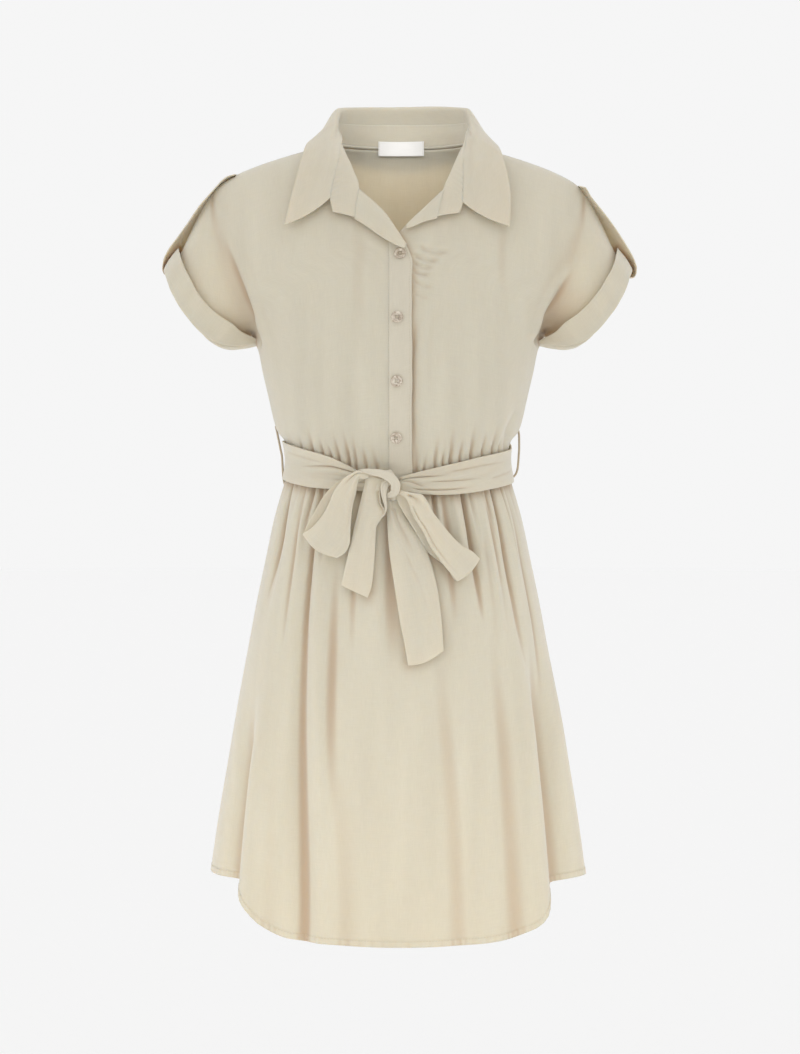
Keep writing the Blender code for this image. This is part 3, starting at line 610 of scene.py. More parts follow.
TAIL_RIGHT = numbered(STRIP_COLUMNS, """
  -33 -115.5 -354.5    -9 -118.5 -359.5   2   0
  -34   -117 -360.5 -17.5 -119.5 -364.5 2.5   0
  -36   -118   -369   -19 -120.5   -372 2.5   0
  -38 -118.5   -378   -18 -121.5 -381.5 2.5   0
-40.5 -119.5 -387.5   -13   -123 -391.5 2.5   0
-42.5 -120.5   -396 -17.5   -123 -398.5   3   0
  -45   -122   -406   -23   -124 -408.5   3   0
  -49   -125   -424   -24 -126.5   -429 2.5   0
-53.5 -127.5 -443.5 -25.5 -128.5   -452 2.5   0
  -58 -129.5 -462.5   -28 -130.5 -470.5   2   0
  -59   -130   -467 -31.5   -131   -480 1.5 0.5
""")
TAIL_LEFT = numbered(STRIP_COLUMNS, """
-11.5   -110   -369    0   -110   -367   1 0
-11.5 -110.5 -384.5    3   -112 -387.5   1 0
  -11   -113   -400  9.5   -116   -400 2.5 0
  -10 -120.5   -421   24   -121   -420 3.5 0
   -8 -125.5 -439.5   33   -125 -441.5 3.5 0
   -3   -131 -472.5 40.5 -129.5 -470.5   3 0
    2 -135.5   -504 44.5 -133.5 -500.5 2.5 0
    7   -139 -529.5 46.5 -136.5 -525.5   2 0
 10.5 -140.5   -550   47 -138.5   -535 1.5 4
""")
# Creases of the belt: where each begins and ends round the waist, its place between the
# top edge (-1) and the bottom edge (1) at both ends, its height and its half width.
BELT_CREASES = table(CREASE_COLUMNS, """
0.06 0.62 -0.85  0.02 -2.8 0.07
0.06  0.6  -0.6   0.2  1.3 0.16
0.08 0.38  0.05  0.45 -1.5 0.16
 0.1  0.7   0.6   0.7  0.8  0.2
 0.3 0.95  -0.5 -0.62 -0.7 0.12
 4.0 3.76 -0.62 -0.28 -2.6  0.1
 4.0 3.86  -0.5  0.66 -2.0 0.14
3.94 3.62  0.62   0.7 -3.0 0.07
 3.9  3.5  0.84   0.9  1.2 0.12
3.86 3.52   0.0   0.3 -1.6 0.06
3.95  3.4  -0.1  -0.2  1.5 0.22
3.75  3.2 -0.52  -0.4 -0.9 0.09
3.45 3.05   0.4   0.2 -0.8  0.1
 1.6  2.3   0.1  0.25 -0.7 0.12
 2.2  2.8  -0.3  -0.2 -0.7 0.12
1.15  1.7  -0.2 -0.35  0.7 0.14
""")
# Creases of the bow's loops and tails, in rows and shares from edge a to edge b.
LOOP_RIGHT_CREASES = table(CREASE_COLUMNS, """
0.6 3.4  0.3 0.24 -1.8 0.09
1.2 6.0  0.6  0.8  1.4 0.14
2.4 9.0 0.94 0.97 -1.6 0.09
0.8 5.0 0.08 0.05  1.0 0.08
5.0 8.8  0.3  0.4  0.8  0.2
""")
LOOP_LEFT_CREASES = table(CREASE_COLUMNS, """
1.8  4.4 0.42 0.48 -4.2 0.22
1.0  6.5 0.16  0.1  1.4 0.14
3.4 10.0  0.9 0.94  1.2 0.05
3.4 10.0 0.82 0.86 -1.0 0.05
5.0  9.5  0.4 0.35  0.8 0.22
""")
TAIL_RIGHT_CREASES = table(CREASE_COLUMNS, """
  0  9.0 0.22 0.16  1.2 0.16
  0  4.6  0.7 0.66 -1.2 0.14
1.6  6.2  0.9 0.94 -3.2 0.12
3.0 10.0 0.52  0.6  0.8  0.2
4.2  8.0 0.86  0.8  1.0 0.12
""")
TAIL_LEFT_CREASES = table(CREASE_COLUMNS, """
0.5 5.5 0.24 0.34  1.3 0.14
1.0 4.4 0.52  0.6 -1.3 0.12
2.0 8.0  0.8 0.88  0.9 0.14
3.0 5.2  0.3 0.62 -0.6 0.06
4.4 6.6 0.66  0.9  0.6 0.07
""")
# The strap that wraps the knot: the middle of the cloth, its half width and half depth.
KNOT_WRAP = numbered(STRAP_COLUMNS, """
  -43 -120.5 -349.0 0.9 0.6
-35.5 -124.0 -348.8 2.2 0.9
  -27 -127.0 -350.0 3.4 1.1
-18.5 -128.8 -351.3 4.0 1.3
-11.0 -130.0 -354.0 4.6 1.5
 -5.5 -130.5 -358.0 4.9 1.7
 -2.5 -130.0 -364.0 5.0 1.7
 -3.0 -128.5 -369.5 4.6 1.6
 -6.5 -126.0 -373.0 3.6 1.4
  -11 -122.5 -375.0 2.2 1.2
""")
# The small roll of cloth inside the knot.
KNOT_ROLL = numbered(STRAP_COLUMNS, """
   -8   -119 -360.0 3.0 1.6
  -12 -122.5 -361.5 4.0 2.0
-14.5 -124.0 -366.0 3.8 2.2
-14.8 -124.5 -372.0 3.0 2.0
-14.0 -124.5 -378.5 2.2 1.8
-12.8 -124.0 -385.0 1.5 1.4
-12.6 -123.0 -391.0 0.8 0.9
""")
KNOT_HEART = numbered(STRAP_COLUMNS, """
-12   -109 -351.0 6.0  8.5
 -9   -111 -357.0 7.0 10.0
 -7 -111.5 -364.0 7.5 10.5
 -6   -111 -371.0 7.0  9.5
 -6   -109 -377.0 5.5  7.5
""")
# The turned-up cuff's section, from its hidden edge round the fold to its free edge:
# shares of the hidden and the shown height, and distance off the sleeve.
CUFF_SECTION = numbered("hidden shown off", """
0.75    0 -1.5
0.35    0 -1.5
   0    0  0.3
   0    0  3.6
   0 0.16  5.2
   0 0.55  6.6
   0  1.0  6.8
""")
# The disc of a button: shares of its radius and of its height, from the back's middle
# round the rim to the dished front.
BUTTON_SECTION = table("share height", """
0    0
0.8  0
0.94 0.22
1    0.5
0.97 0.8
0.9  0.97
0.8  1
0.7  0.9
0.62 0.66
0.45 0.56
0    0.54
""")


def smooth(keys, values, at):
    """Values read between their keys on a smooth curve that never overshoots them."""
    steps = np.diff(keys)
    rises = np.diff(values) / steps
    slopes = np.concatenate(([rises[0]], np.zeros(len(keys) - 2), [rises[-1]]))
    same_way = rises[:-1] * rises[1:] > 0
    both = np.where(same_way, rises[:-1] + rises[1:], 1.0)
    slopes[1:-1] = np.where(same_way, 2 * rises[:-1] * rises[1:] / both, 0.0)
    at = np.clip(at, keys[0], keys[-1])
    cell = np.clip(np.searchsorted(keys, at, side="right") - 1, 0, len(steps) - 1)
    part = (at - keys[cell]) / steps[cell]
    rise_start = slopes[cell] * steps[cell]
    rise_end = slopes[cell + 1] * steps[cell]
    change = values[cell + 1] - values[cell]
    cubic = rise_start + rise_end - 2 * change
    square = 3 * change - 2 * rise_start - rise_end
    return values[cell] + part * (rise_start + part * (square + part * cubic))


def read(rows, column, at):
    """One column of a table, read at values of the table's first column."""
    keys = next(iter(rows.values()))
    return smooth(keys, rows[column], np.asarray(at, dtype=float))


def line_of(rows, name, at):
    """A line in space, from the columns of a table called name with x, y and z."""
    return np.stack([read(rows, name + axis, at) for axis in "xyz"], axis=1)


def stations(rows, steps):
    """Even steps from the first row of a numbered table to its last."""
    return np.linspace(0, len(rows["row"]) - 1, steps + 1)


def along(rows, share):
    """The x and z at shares of the length of a line given by its points."""
    steps = np.hypot(np.diff(rows["x"]), np.diff(rows["z"]))
    length = np.concatenate(([0.0], np.cumsum(steps)))
    length /= length[-1]
    return smooth(length, rows["x"], share), smooth(length, rows["z"], share)


def run_of(line):
    """The distance along a line of points at each of them."""
    steps = np.linalg.norm(np.diff(line, axis=0), axis=-1)
    return np.concatenate((0 * steps[:1], np.cumsum(steps, axis=0)))


def point_at(at, run, line):
    """The point of a line at a value of its run."""
    return np.array([np.interp(at, run, line[:, axis]) for axis in range(3)])


def ease(start, end, at):
    """0 before start, 1 after end, and a soft rise between them."""
    part = np.clip((at - start) / (end - start), 0.0, 1.0)
    return part * part * (3 - 2 * part)


def bell(away, width=1.0):
    """1 at 0, and a soft fall to 0 on both sides."""
    return np.exp(-(away / width) ** 2)


def powered(value, power):
    """A power of a number's size, with the number's own sign."""
    return np.sign(value) * np.abs(value) ** power


def between(first, second, share):
    """A mix of two values, the first at share 0 and the second at 1."""
    return first * (1 - share) + second * share


def unit(ways):
    """Directions of length 1."""
    return ways / np.maximum(np.linalg.norm(ways, axis=-1, keepdims=True), 1e-9)


def normals(points):
    """Unit normals of a grid of points."""
    return unit(np.cross(np.gradient(points, axis=0), np.gradient(points, axis=1)))


def facing_to(toward, points):
    """Unit normals of a grid of points, on the side that lies toward a direction."""
    way = normals(points)
    return way * np.sign(np.sum(way * toward))


def waist_seam(turn, facing):
    """The drop of the seam between bodice and skirt."""
    dip = WAIST_DIP if facing < 0 else 0.0
    return WAIST_DROP + dip * np.cos(turn * math.pi / 2) ** 2


def body(column, turn, drop, facing):
    """A column of the body's table, lowered in front with the dip of the waist."""
    dip = waist_seam(turn, facing) - WAIST_DROP
    return read(BODY, column, drop - dip * bell(drop - WAIST_MIDDLE, WAIST_REACH))


def sleeve_ring(angle, up, off):
    """A point of the sleeve's end, at degrees round from its top.

    up is a height along the sleeve and off a distance outwards. It gives x, the depth
    off the plane of the side seams, and z.
    """
    top = np.array(SLEEVE_TOP)
    under = np.array(SLEEVE_UNDER)
    middle = (top + under) / 2
    radius = np.linalg.norm(top - under) / 2
    outward = (top - middle) / radius
    down = np.array((outward[1], -outward[0]))
    if down[1] > 0:
        down = -down
    cosine = np.cos(np.radians(angle))
    lower = read(SLEEVE_RING, "droop", angle) - up
    x, z = (middle[axis] + outward[axis] * (radius + off) * cosine + down[axis] * lower
            for axis in (0, 1))
    return x, (SLEEVE_DEPTH + off) * np.sin(np.radians(angle)), z


def outer_edge(share):
    """The bodice's outer edge: round the sleeve's end, then down the side seam."""
    angle = np.clip(share / 0.5, 0, 1) * 180
    (ring_x, _, ring_z), (under_x, _, under_z) = (
        sleeve_ring(at, read(SLEEVE_RING, "inside", at) + SLEEVE_END_GAP, 0)
        for at in (angle, 180))
    part = np.clip((share - 0.5) / 0.5, 0, 1)
    seam_z = under_z + (-(WAIST_DROP - GAP) - under_z) * part
    step = under_x - read(BODY, "half", -under_z)
    seam_x = read(BODY, "half", -seam_z) + step * (1 - part) ** 8
    return np.where(share < 0.5, ring_x, seam_x), np.where(share < 0.5, ring_z, seam_z)


# ---------------------------------------------------------------- relief of the cloth

def puckers(x, above):
    """The gathers' short folds over the waist seam, at heights above it."""
    lift = np.zeros_like(x)
    hidden = BELT_COVER * ease(8, 45, np.abs(x))
    for foot, lean, length, depth, width in zip(*PUCKERS.values()):
        part = np.clip((above - hidden) / length, 0, 1)
        away = (x - foot - lean * part) / (0.8 * width * (1 + 1.8 * part))
        trough = 0.5 * bell(away, 2.4) - bell(away)
        lift += 1.5 * depth * (1 - part) ** 1.6 * trough
    return lift


def drapes(rows, x, z):
    """Soft folds that run along slightly bent lines on a panel seen from the front."""
    lift = np.zeros_like(x)
    for from_x, from_z, to_x, to_z, height, width in zip(*rows.values()):
        run = np.array((to_x - from_x, to_z - from_z))
        length = np.hypot(*run)
        run /= length
        part = ((x - from_x) * run[0] + (z - from_z) * run[1]) / length
        aside = (x - from_x) * run[1] - (z - from_z) * run[0]
        bend = aside - 0.05 * length * np.sin(math.pi * np.clip(part, 0, 1))
        fade = ease(-0.05, 0.25, part) * (1 - ease(0.7, 1.1, part))
        lift += height * fade * bell(bend, width)
    return lift


def sleeve_fold(x, z, breadth, start_z):
    """The fold where the sleeve drops behind the body: a hollow below 0 and a low ridge."""
    start = np.array((SLEEVE_FOLD_START_X, start_z))
    end = np.array(SLEEVE_FOLD_END)
    length = np.linalg.norm(end - start)
    run = (end - start) / length
    part = ((np.abs(x) - start[0]) * run[0] + (z - start[1]) * run[1]) / length
    here = np.clip(part, 0, 1)
    aside = -(np.abs(x) - start[0]) * run[1] + (z - start[1]) * run[0]
    aside = aside + 3 * np.sin(math.pi * here)
    deep = (1.2 + 10 * np.clip(part, 0, 1.1) ** 2) * ease(0.02, 0.42, part)
    spread = (7 + 12 * here) * breadth
    valley = np.where(aside > 0, np.exp(-np.maximum(aside, 0) / spread), bell(aside, 3.2))
    ridge = 2.0 * here * bell(aside + 8, 6)
    return (ridge - deep * valley) * (1 - ease(1.0, 1.12, part))


def creases(rows, along_at, side_at):
    """Creases of a strip, given along its length and across its width."""
    lift = np.zeros(np.broadcast(along_at, side_at).shape)
    for begin, end, side_begin, side_end, height, width in zip(*rows.values()):
        part = (along_at - begin) / (end - begin)
        middle = side_begin + (side_end - side_begin) * np.clip(part, 0, 1)
        fade = ease(-0.02, 0.06, part) * (1 - ease(0.45, 1.0, part))
        lift += height * fade * bell(side_at - middle, width)
    return lift


def rumple(x, z, seed, size):
    """A faint unevenness of the cloth, made of a few long waves."""
    wave = np.random.default_rng(seed)
    lift = np.zeros_like(x)
    for _ in range(RUMPLE_WAVES):
        angle = wave.normal(0, 0.5)
        length = wave.uniform(0.7, 2.2) * size
        across = x * math.cos(angle) + z * math.sin(angle) * 0.45
        lift += wave.uniform(0.3, 1) * np.sin(across * 2 * math.pi / length
                                               + wave.uniform(0, 6.3))
    return lift / RUMPLE_WAVES


def relaxed(points, times):
    """A grid of points smoothed in its middle, with its border held."""
    for _ in range(times):
        middle = (points[:-2, 1:-1] + points[2:, 1:-1]
                  + points[1:-1, :-2] + points[1:-1, 2:]) / 4
        points = points.copy()
        points[1:-1, 1:-1] = (points[1:-1, 1:-1] + middle) / 2
    return points


# ---------------------------------------------------------------- the panels' forms

def level_near_waist(way, distance):
    """Outward ways that turn level at the waist seam, so that relief keeps it in place."""
    level = way.copy()
    level[..., 2] *= ease(0, 30, distance)
    return unit(level)


def bodice_half(piece, facing, side, edge, rows, columns, folds, seed):
    """Half a bodice, from its inner edge out to the sleeve's end and the side seam.

    facing is -1 on a front and 1 on the back. It gives the points and their outward ways.
    """
    down = np.linspace(0, 1, rows + 1)
    out = np.sin(np.linspace(0, math.pi / 2, columns + 1))
    v, u = np.meshgrid(down, out, indexing="ij")

    top = dict(x=RIDGE["x"] * side, z=RIDGE["z"])
    if facing > 0:
        top = dict(x=np.concatenate((BACK_NECK["x"] * side, top["x"])),
                   z=np.concatenate((BACK_NECK["z"], top["z"])))
    outer_x, outer_z = outer_edge(v)
    outer_x = outer_x * side
    waist_half = read(BODY, "half", WAIST_DROP)
    bottom_x = edge["x"][-1] + (side * waist_half - edge["x"][-1]) * u
    bottom_turn = np.arcsin(np.clip(bottom_x / waist_half, -1, 1)) / (math.pi / 2)
    bottom_z = -waist_seam(bottom_turn, facing)
    corners = ((top["x"][0], top["z"][0]), (top["x"][-1], top["z"][-1]),
               (edge["x"][-1], bottom_z[0, 0]), (side * waist_half, bottom_z[0, -1]))

    def patch(up_line, low_line, in_line, out_line, axis):
        inner_top, outer_top, inner_low, outer_low = (corner[axis] for corner in corners)
        counted_twice = ((1 - u) * (1 - v) * inner_top + u * (1 - v) * outer_top
                         + (1 - u) * v * inner_low + u * v * outer_low)
        return ((1 - v) * up_line + v * low_line + (1 - u) * in_line + u * out_line
                - counted_twice)

    (top_x, top_z), (inner_x, inner_z) = along(top, u), along(edge, v)
    x = patch(top_x, bottom_x, inner_x, outer_x, 0)
    z = patch(top_z, bottom_z, inner_z, outer_z, 1)

    column = "front" if facing < 0 else "back"
    rough_turn = np.arcsin(np.clip(x / read(BODY, "half", -z), -1, 1)) / (math.pi / 2)
    half = body("half", rough_turn, -z, facing)
    half = np.where(v >= 0.5, np.maximum(half, np.abs(outer_x)), half)
    across = np.clip(np.abs(x) / half, 0, 1)
    turn = np.sign(x) * np.arcsin(across) / (math.pi / 2)
    ridge = smooth(RIDGE["x"], RIDGE["z"], np.abs(x))
    fallen = np.clip((ridge - z) / SHOULDER_ROLL, 0, 1)
    rounding = np.sqrt(1 - (1 - fallen) ** 2)
    chest = body(column, turn, -z, facing) * (1 - across ** ROUNDNESS) ** (1 / ROUNDNESS)
    floor = 0 if facing < 0 else neckline_depth(x)
    torso = floor + np.maximum(chest - floor, 0) * rounding
    sleeve = SLEEVE_DEPTH * np.sin(math.pi * np.clip(v / 0.5, 0, 1)) * ease(0.45, 0.9, u)
    depth = (torso ** 3 + sleeve ** 3) ** (1 / 3)
    depth = np.where(u > 0.9999, np.where(v < 0.5, sleeve, 0.0), depth)

    points = np.stack([x, facing * depth, z], axis=2)
    upper_arm = (ease(0.5, 0.78, u) * (1 - ease(0.965, 1.0, u)) * ease(0.03, 0.14, v)
                 * (1 - ease(0.5, 0.62, v)))[..., None]
    points = between(relaxed(points, FEW_PASSES), relaxed(points, MANY_PASSES), upper_arm)
    above = waist_seam(turn, facing) + z
    way = level_near_waist(facing_to(np.array((0, facing, 0)), points), above)
    lift = puckers(x, above) + (drapes(folds, x, z) + 1.6 * rumple(x, z, seed, 90))
    lift *= (1 - u ** 10) * ease(0, 10, ridge - z)
    if facing < 0:
        beside_band = ease(11, 24 if side < 0 else 16, np.abs(x - BAND_MIDDLE_X))
        lift *= beside_band * 0.85 + 0.15
    strength, breadth, start_z, _ = SLEEVE_FOLDS[piece]
    fold = strength * sleeve_fold(x, z, breadth, start_z) * (1 - u ** 40)
    deepest = -0.6 * np.abs(points[..., 1])
    lift += np.maximum(fold, deepest)
    return points + way * lift[..., None], way


def skirt(facing, hem, folds, rows, columns, seed):
    """The skirt's front (facing -1) or back (facing 1), with its gathers and folds."""
    turns = np.linspace(-1, 1, columns + 1)
    shares = np.concatenate((np.linspace(0, 0.982, rows - 5) ** 1.1, HEM_EDGE_SHARES))
    share, turn = np.meshgrid(shares, turns, indexing="ij")
    start = waist_seam(turn, facing)
    hem_drop = read(hem, "drop", turn)
    drop = start + (hem_drop - start) * share
    below = drop - start
    power = 2 / (ROUNDNESS + 0.25 * ease(400, 700, drop))
    angle = turn * math.pi / 2
    half = body("half", turn, drop, facing)
    depth = body("front" if facing < 0 else "back", turn, drop, facing)
    points = np.stack([half * powered(np.sin(angle), power),
                       facing * (depth * np.abs(np.cos(angle)) ** power), -drop], axis=2)
    way = level_near_waist(facing_to(np.array((0, facing, 0)), points), below)

    lift = np.zeros_like(drop)
    wander = turn + 0.03 * np.sin(9 * turn + seed) + 0.016 * np.sin(23 * turn + 1)
    for height, waves, shift, full, gone in zip(*GATHERS.values()):
        lift += (height * (1 - ease(full, gone, below))
                 * np.cos(2 * math.pi * waves * wander + shift))
    for waist, low, begin, end, height, width in zip(*folds.values()):
        middle = waist + (low - waist) * ease(WAIST_DROP, HEM_DROP, drop)
        grow = ease(begin, begin + 0.45 * (min(end, HEM_DROP - 20) - begin), drop)
        fading = 60 if end > HEM_DROP + 40 else 0.55 * (end - begin)
        fade = 1 - ease(end - fading, end, drop)
        lift += height * grow * fade * bell(turn - middle, width)
    lift += 2.0 * rumple(turn * 200, -drop * 0.35, seed, 70)
    over_hem = hem_drop - drop
    pucker = np.sin(turn * 260 + 2 * np.sin(turn * 37)) * 0.35
    lift += (0.55 + pucker) * (1 - ease(HEM_WIDTH, HEM_WIDTH + 0.8, over_hem))
    lift -= 0.5 * bell(over_hem - HEM_WIDTH - 1.2, 0.9)
    lift *= 1 - np.abs(turn) ** 10
    return points + way * lift[..., None], way


def overlap_lift(points, height):
    """A front moved forward where it laps over the other front."""
    lapped = points.copy()
    nearness = ease(-48, -16, points[..., 0]) * ease(60, 100, -points[..., 2])
    lapped[..., 1] -= height * nearness
    return lapped


def neckline_depth(x):
    """How far behind the side seams the back's neckline lies."""
    return BACK_NECK_DEPTH * np.sqrt(np.clip(1 - (x / NECK_HALF_WIDTH) ** 2, 0, 1))


def body_ring(round_way, drop, off):
    """A point off the dress's waist. round_way is 0 in front, 1 at the wearer's right."""
    angle = round_way * math.pi / 2
    sine, cosine = np.sin(angle), np.cos(angle)
    turn = np.arcsin(sine) / (math.pi / 2)
    half, depth = (
        np.where(cosine > 0, body(front, turn, drop, -1), body(back, turn, drop, 1))
        for front, back in (("half", "half"), ("front", "back")))
    power = 2 / ROUNDNESS
    return -(half + off) * powered(sine, power), -(depth + off) * powered(cosine, power)


def collar_lines(at):
    """The lines along the collar at its stations, by name, with the roll's two sides."""
    lines = {name: line_of(COLLAR, f"{name}_", at)
             for name in ("neck", "roll", "join", "edge")}
    run = np.gradient(lines["roll"], axis=0)
    outward = unit(np.stack([run[:, 1], -run[:, 0], np.zeros(len(at))], axis=1))
    outward *= np.sign(np.sum(outward * (lines["edge"] - lines["neck"])))
    across = outward * read(COLLAR, "round", at)[:, None]
    lower = np.array((0, 0, ROLL_SHOULDER))
    lines["roll_in"] = lines["roll"] - lower
    lines["roll_top"] = lines["roll"] + across / 2
    lines["roll_out"] = lines["roll"] + across - lower
    return lines


# ---------------------------------------------------------------- materials

def new_material(name):
    """A new material, with its node tree and its shader."""
    made = bpy.data.materials.new(name)
    made.use_nodes = True
    return made, made.node_tree, made.node_tree.nodes["Principled BSDF"]


def fill(tree, made, sockets):
    """Give each named socket of a node its value, or a link from another node's socket."""
    for name, value in sockets.items():
        if isinstance(value, bpy.types.NodeSocket):
            tree.links.new(value, made.inputs[name])
        else:
            made.inputs[name].default_value = value


def node(tree, kind, output, sockets, **settings):
    """A new shader node, given by one of its outputs."""
    made = tree.nodes.new(f"ShaderNode{kind}")
    for key, value in settings.items():
        setattr(made, key, value)
    fill(tree, made, sockets)
    return made.outputs[output]


def math_node(tree, operation, *values):
    """The result of one step of arithmetic on values or sockets."""
    return node(tree, "Math", 0, dict(enumerate(values)), operation=operation)


def mix(tree, factor, first, second, **settings):
    """A mix of two colours."""
    return node(tree, "Mix", "Result", {"Factor": factor, "A": first, "B": second},
                data_type="RGBA", **settings)


def drawn_out_noise(tree, place, stretch, seed=0, **sockets):
    """Noise on the cloth's UV map, finer one way than the other."""
    moved = node(tree, "Mapping", "Vector", {
        "Vector": place, "Scale": (*stretch, 1), "Location": (seed, seed * 0.7, 0)})
    return node(tree, "TexNoise", "Fac", {"Vector": moved, "Scale": 1, **sockets})


def cloth_material(name, thin=0.55, spread_of_light=(1.0, 0.78, 0.56)):
    """Slubbed plain weave: streaks along both yarns, a fine grid of yarns and a soft nap.

    The pattern follows the piece's UV map, which is in metres of cloth. The fold
    attribute mixes a warm painted shade into the cloth in its troughs and where other
    pieces lie close over it. thin is the share of light that spreads in the cloth.
    """
    made, tree, shader = new_material(name)
    place = node(tree, "UVMap", "UV", {}, uv_map="cloth")
    slubs = math_node(tree, "ADD", *(
        drawn_out_noise(tree, place, stretch, seed, Detail=3, Roughness=0.6)
        for stretch, seed in (((1000, 70), 0), ((55, 1150), 7))))
    slub_share = node(tree, "MapRange", "Result", {
        "Value": slubs, "From Min": 0.72, "From Max": 1.28})
    slubbed = mix(tree, slub_share, (*LINEN_DARK, 1), (*LINEN_LIGHT, 1))
    streak_shade = node(tree, "MapRange", "Result", {
        "Value": drawn_out_noise(tree, place, (34, 4.5), Detail=2.5),
        "To Min": 0.90, "To Max": 1.09})
    streaked = mix(tree, 1, slubbed, streak_shade, blend_type="MULTIPLY")
    # Painted shade: the fold attribute mixes the warm painted shade into the base colour.
    fold = node(tree, "Attribute", "Fac", {}, attribute_name="fold")

    yarns = [math_node(tree, "SINE", math_node(tree, "MULTIPLY", node(
        tree, "SeparateXYZ", axis, {0: place}), 2 * math.pi / (YARN * MM))) for axis in "XY"]
    weave = math_node(tree, "MULTIPLY", *yarns)
    relief = math_node(tree, "MULTIPLY_ADD", weave, 0.22, slubs)
    fill(tree, shader, {
        "Base Color": mix(tree, fold, streaked, (*LINEN_PAINTED_SHADE, 1)),
        "Roughness": 0.86,
        "Specular IOR Level": 0.25,
        "Sheen Weight": 0.25,
        "Sheen Roughness": 0.45,
        "Subsurface Weight": thin,
        "Subsurface Radius": spread_of_light,
        "Subsurface Scale": 0.004,
        "Normal": node(tree, "Bump", "Normal", {
            "Strength": 0.25, "Distance": 0.0004, "Height": relief}),
    })
    return made


def button_material():
    """Pearly shell with a rosy cast and darker drifts in it."""
    made, tree, shader = new_material("pearl_button")
    place = node(tree, "TexCoord", "Object", {})
    drift = node(tree, "TexNoise", "Fac", {
        "Vector": place, "Scale": 180, "Detail": 4, "Distortion": 1.6})
    shell = node(tree, "ValToRGB", "Color", {"Fac": drift})
    ramp = shell.node.color_ramp.elements
    ramp[0].position, ramp[0].color = 0.30, (0.30, 0.23, 0.16, 1)
    ramp[1].position, ramp[1].color = 0.72, (0.78, 0.72, 0.60, 1)
    ramp.new(0.5).color = (0.55, 0.46, 0.36, 1)
    fill(tree, shader, {"Base Color": shell, "Roughness": 0.16, "Coat Weight": 0.6,
                        "Coat Roughness": 0.08})
    return made


def thread_material():
    """Twisted sewing thread."""
    made, tree, shader = new_material("sewing_thread")
    place = node(tree, "TexCoord", "Object", {})
    twist = node(tree, "TexNoise", "Fac", {"Vector": place, "Scale": 2600})
    darker, lighter = ((*[min(part * share, 1) for part in THREAD], 1)
                       for share in (0.8, 1.15))
    fill(tree, shader, {"Base Color": mix(tree, twist, darker, lighter), "Roughness": 0.7})
    return made


def label_material():
    """White satin ribbon with its fine cross ribs."""
    made, tree, shader = new_material("satin_label")
    place = node(tree, "UVMap", "UV", {}, uv_map="cloth")
    ribs = drawn_out_noise(tree, place, (60, 3200))
    fill(tree, shader, {
        "Base Color": mix(tree, ribs, (0.80, 0.79, 0.76, 1), (0.93, 0.92, 0.90, 1)),
        "Normal": node(tree, "Bump", "Normal", {
            "Strength": 0.3, "Distance": 0.0002, "Height": ribs}),
        "Roughness": 0.42, "Sheen Weight": 0.15})
    return made


# ---------------------------------------------------------------- making pieces

def mesh_of(name, bm):
    """A mesh made of a bmesh, which is freed."""
    mesh = bpy.data.meshes.new(name)
    bm.to_mesh(mesh)
    bm.free()
    return mesh


def put(name, data):
    """A new object in the scene."""
    made = bpy.data.objects.new(name, data)
    bpy.context.scene.collection.objects.link(made)
    return made


def show(name, bm, look, nodes=()):
    """A finished piece that rides with the dress and stands for some of its solids."""
    mesh = mesh_of(name, bm)
    mesh.materials.append(look)
    mesh.shade_smooth()
    made = put(name, mesh)
    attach(made, "root")
    if nodes:
        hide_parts(*nodes)
    return made


def painted_crease_shade(points, way):
    """How deep each point lies in a fold, as a share of warm painted shade: none on open
    cloth, most in a narrow trough.
    """
    depth = np.zeros(points.shape[:2])
    for reach in (2, 4):
        around = (np.roll(points, reach, 1) + np.roll(points, -reach, 1)) / 2
        around[:, :reach] = points[:, :reach]
        around[:, -reach:] = points[:, -reach:]
        depth += np.clip(np.sum((around - points) * way, axis=2), 0, 3)
    return DEEPEST_PAINTED_SHADE * (1 - np.exp(-(depth / 2.4) ** 1.3))


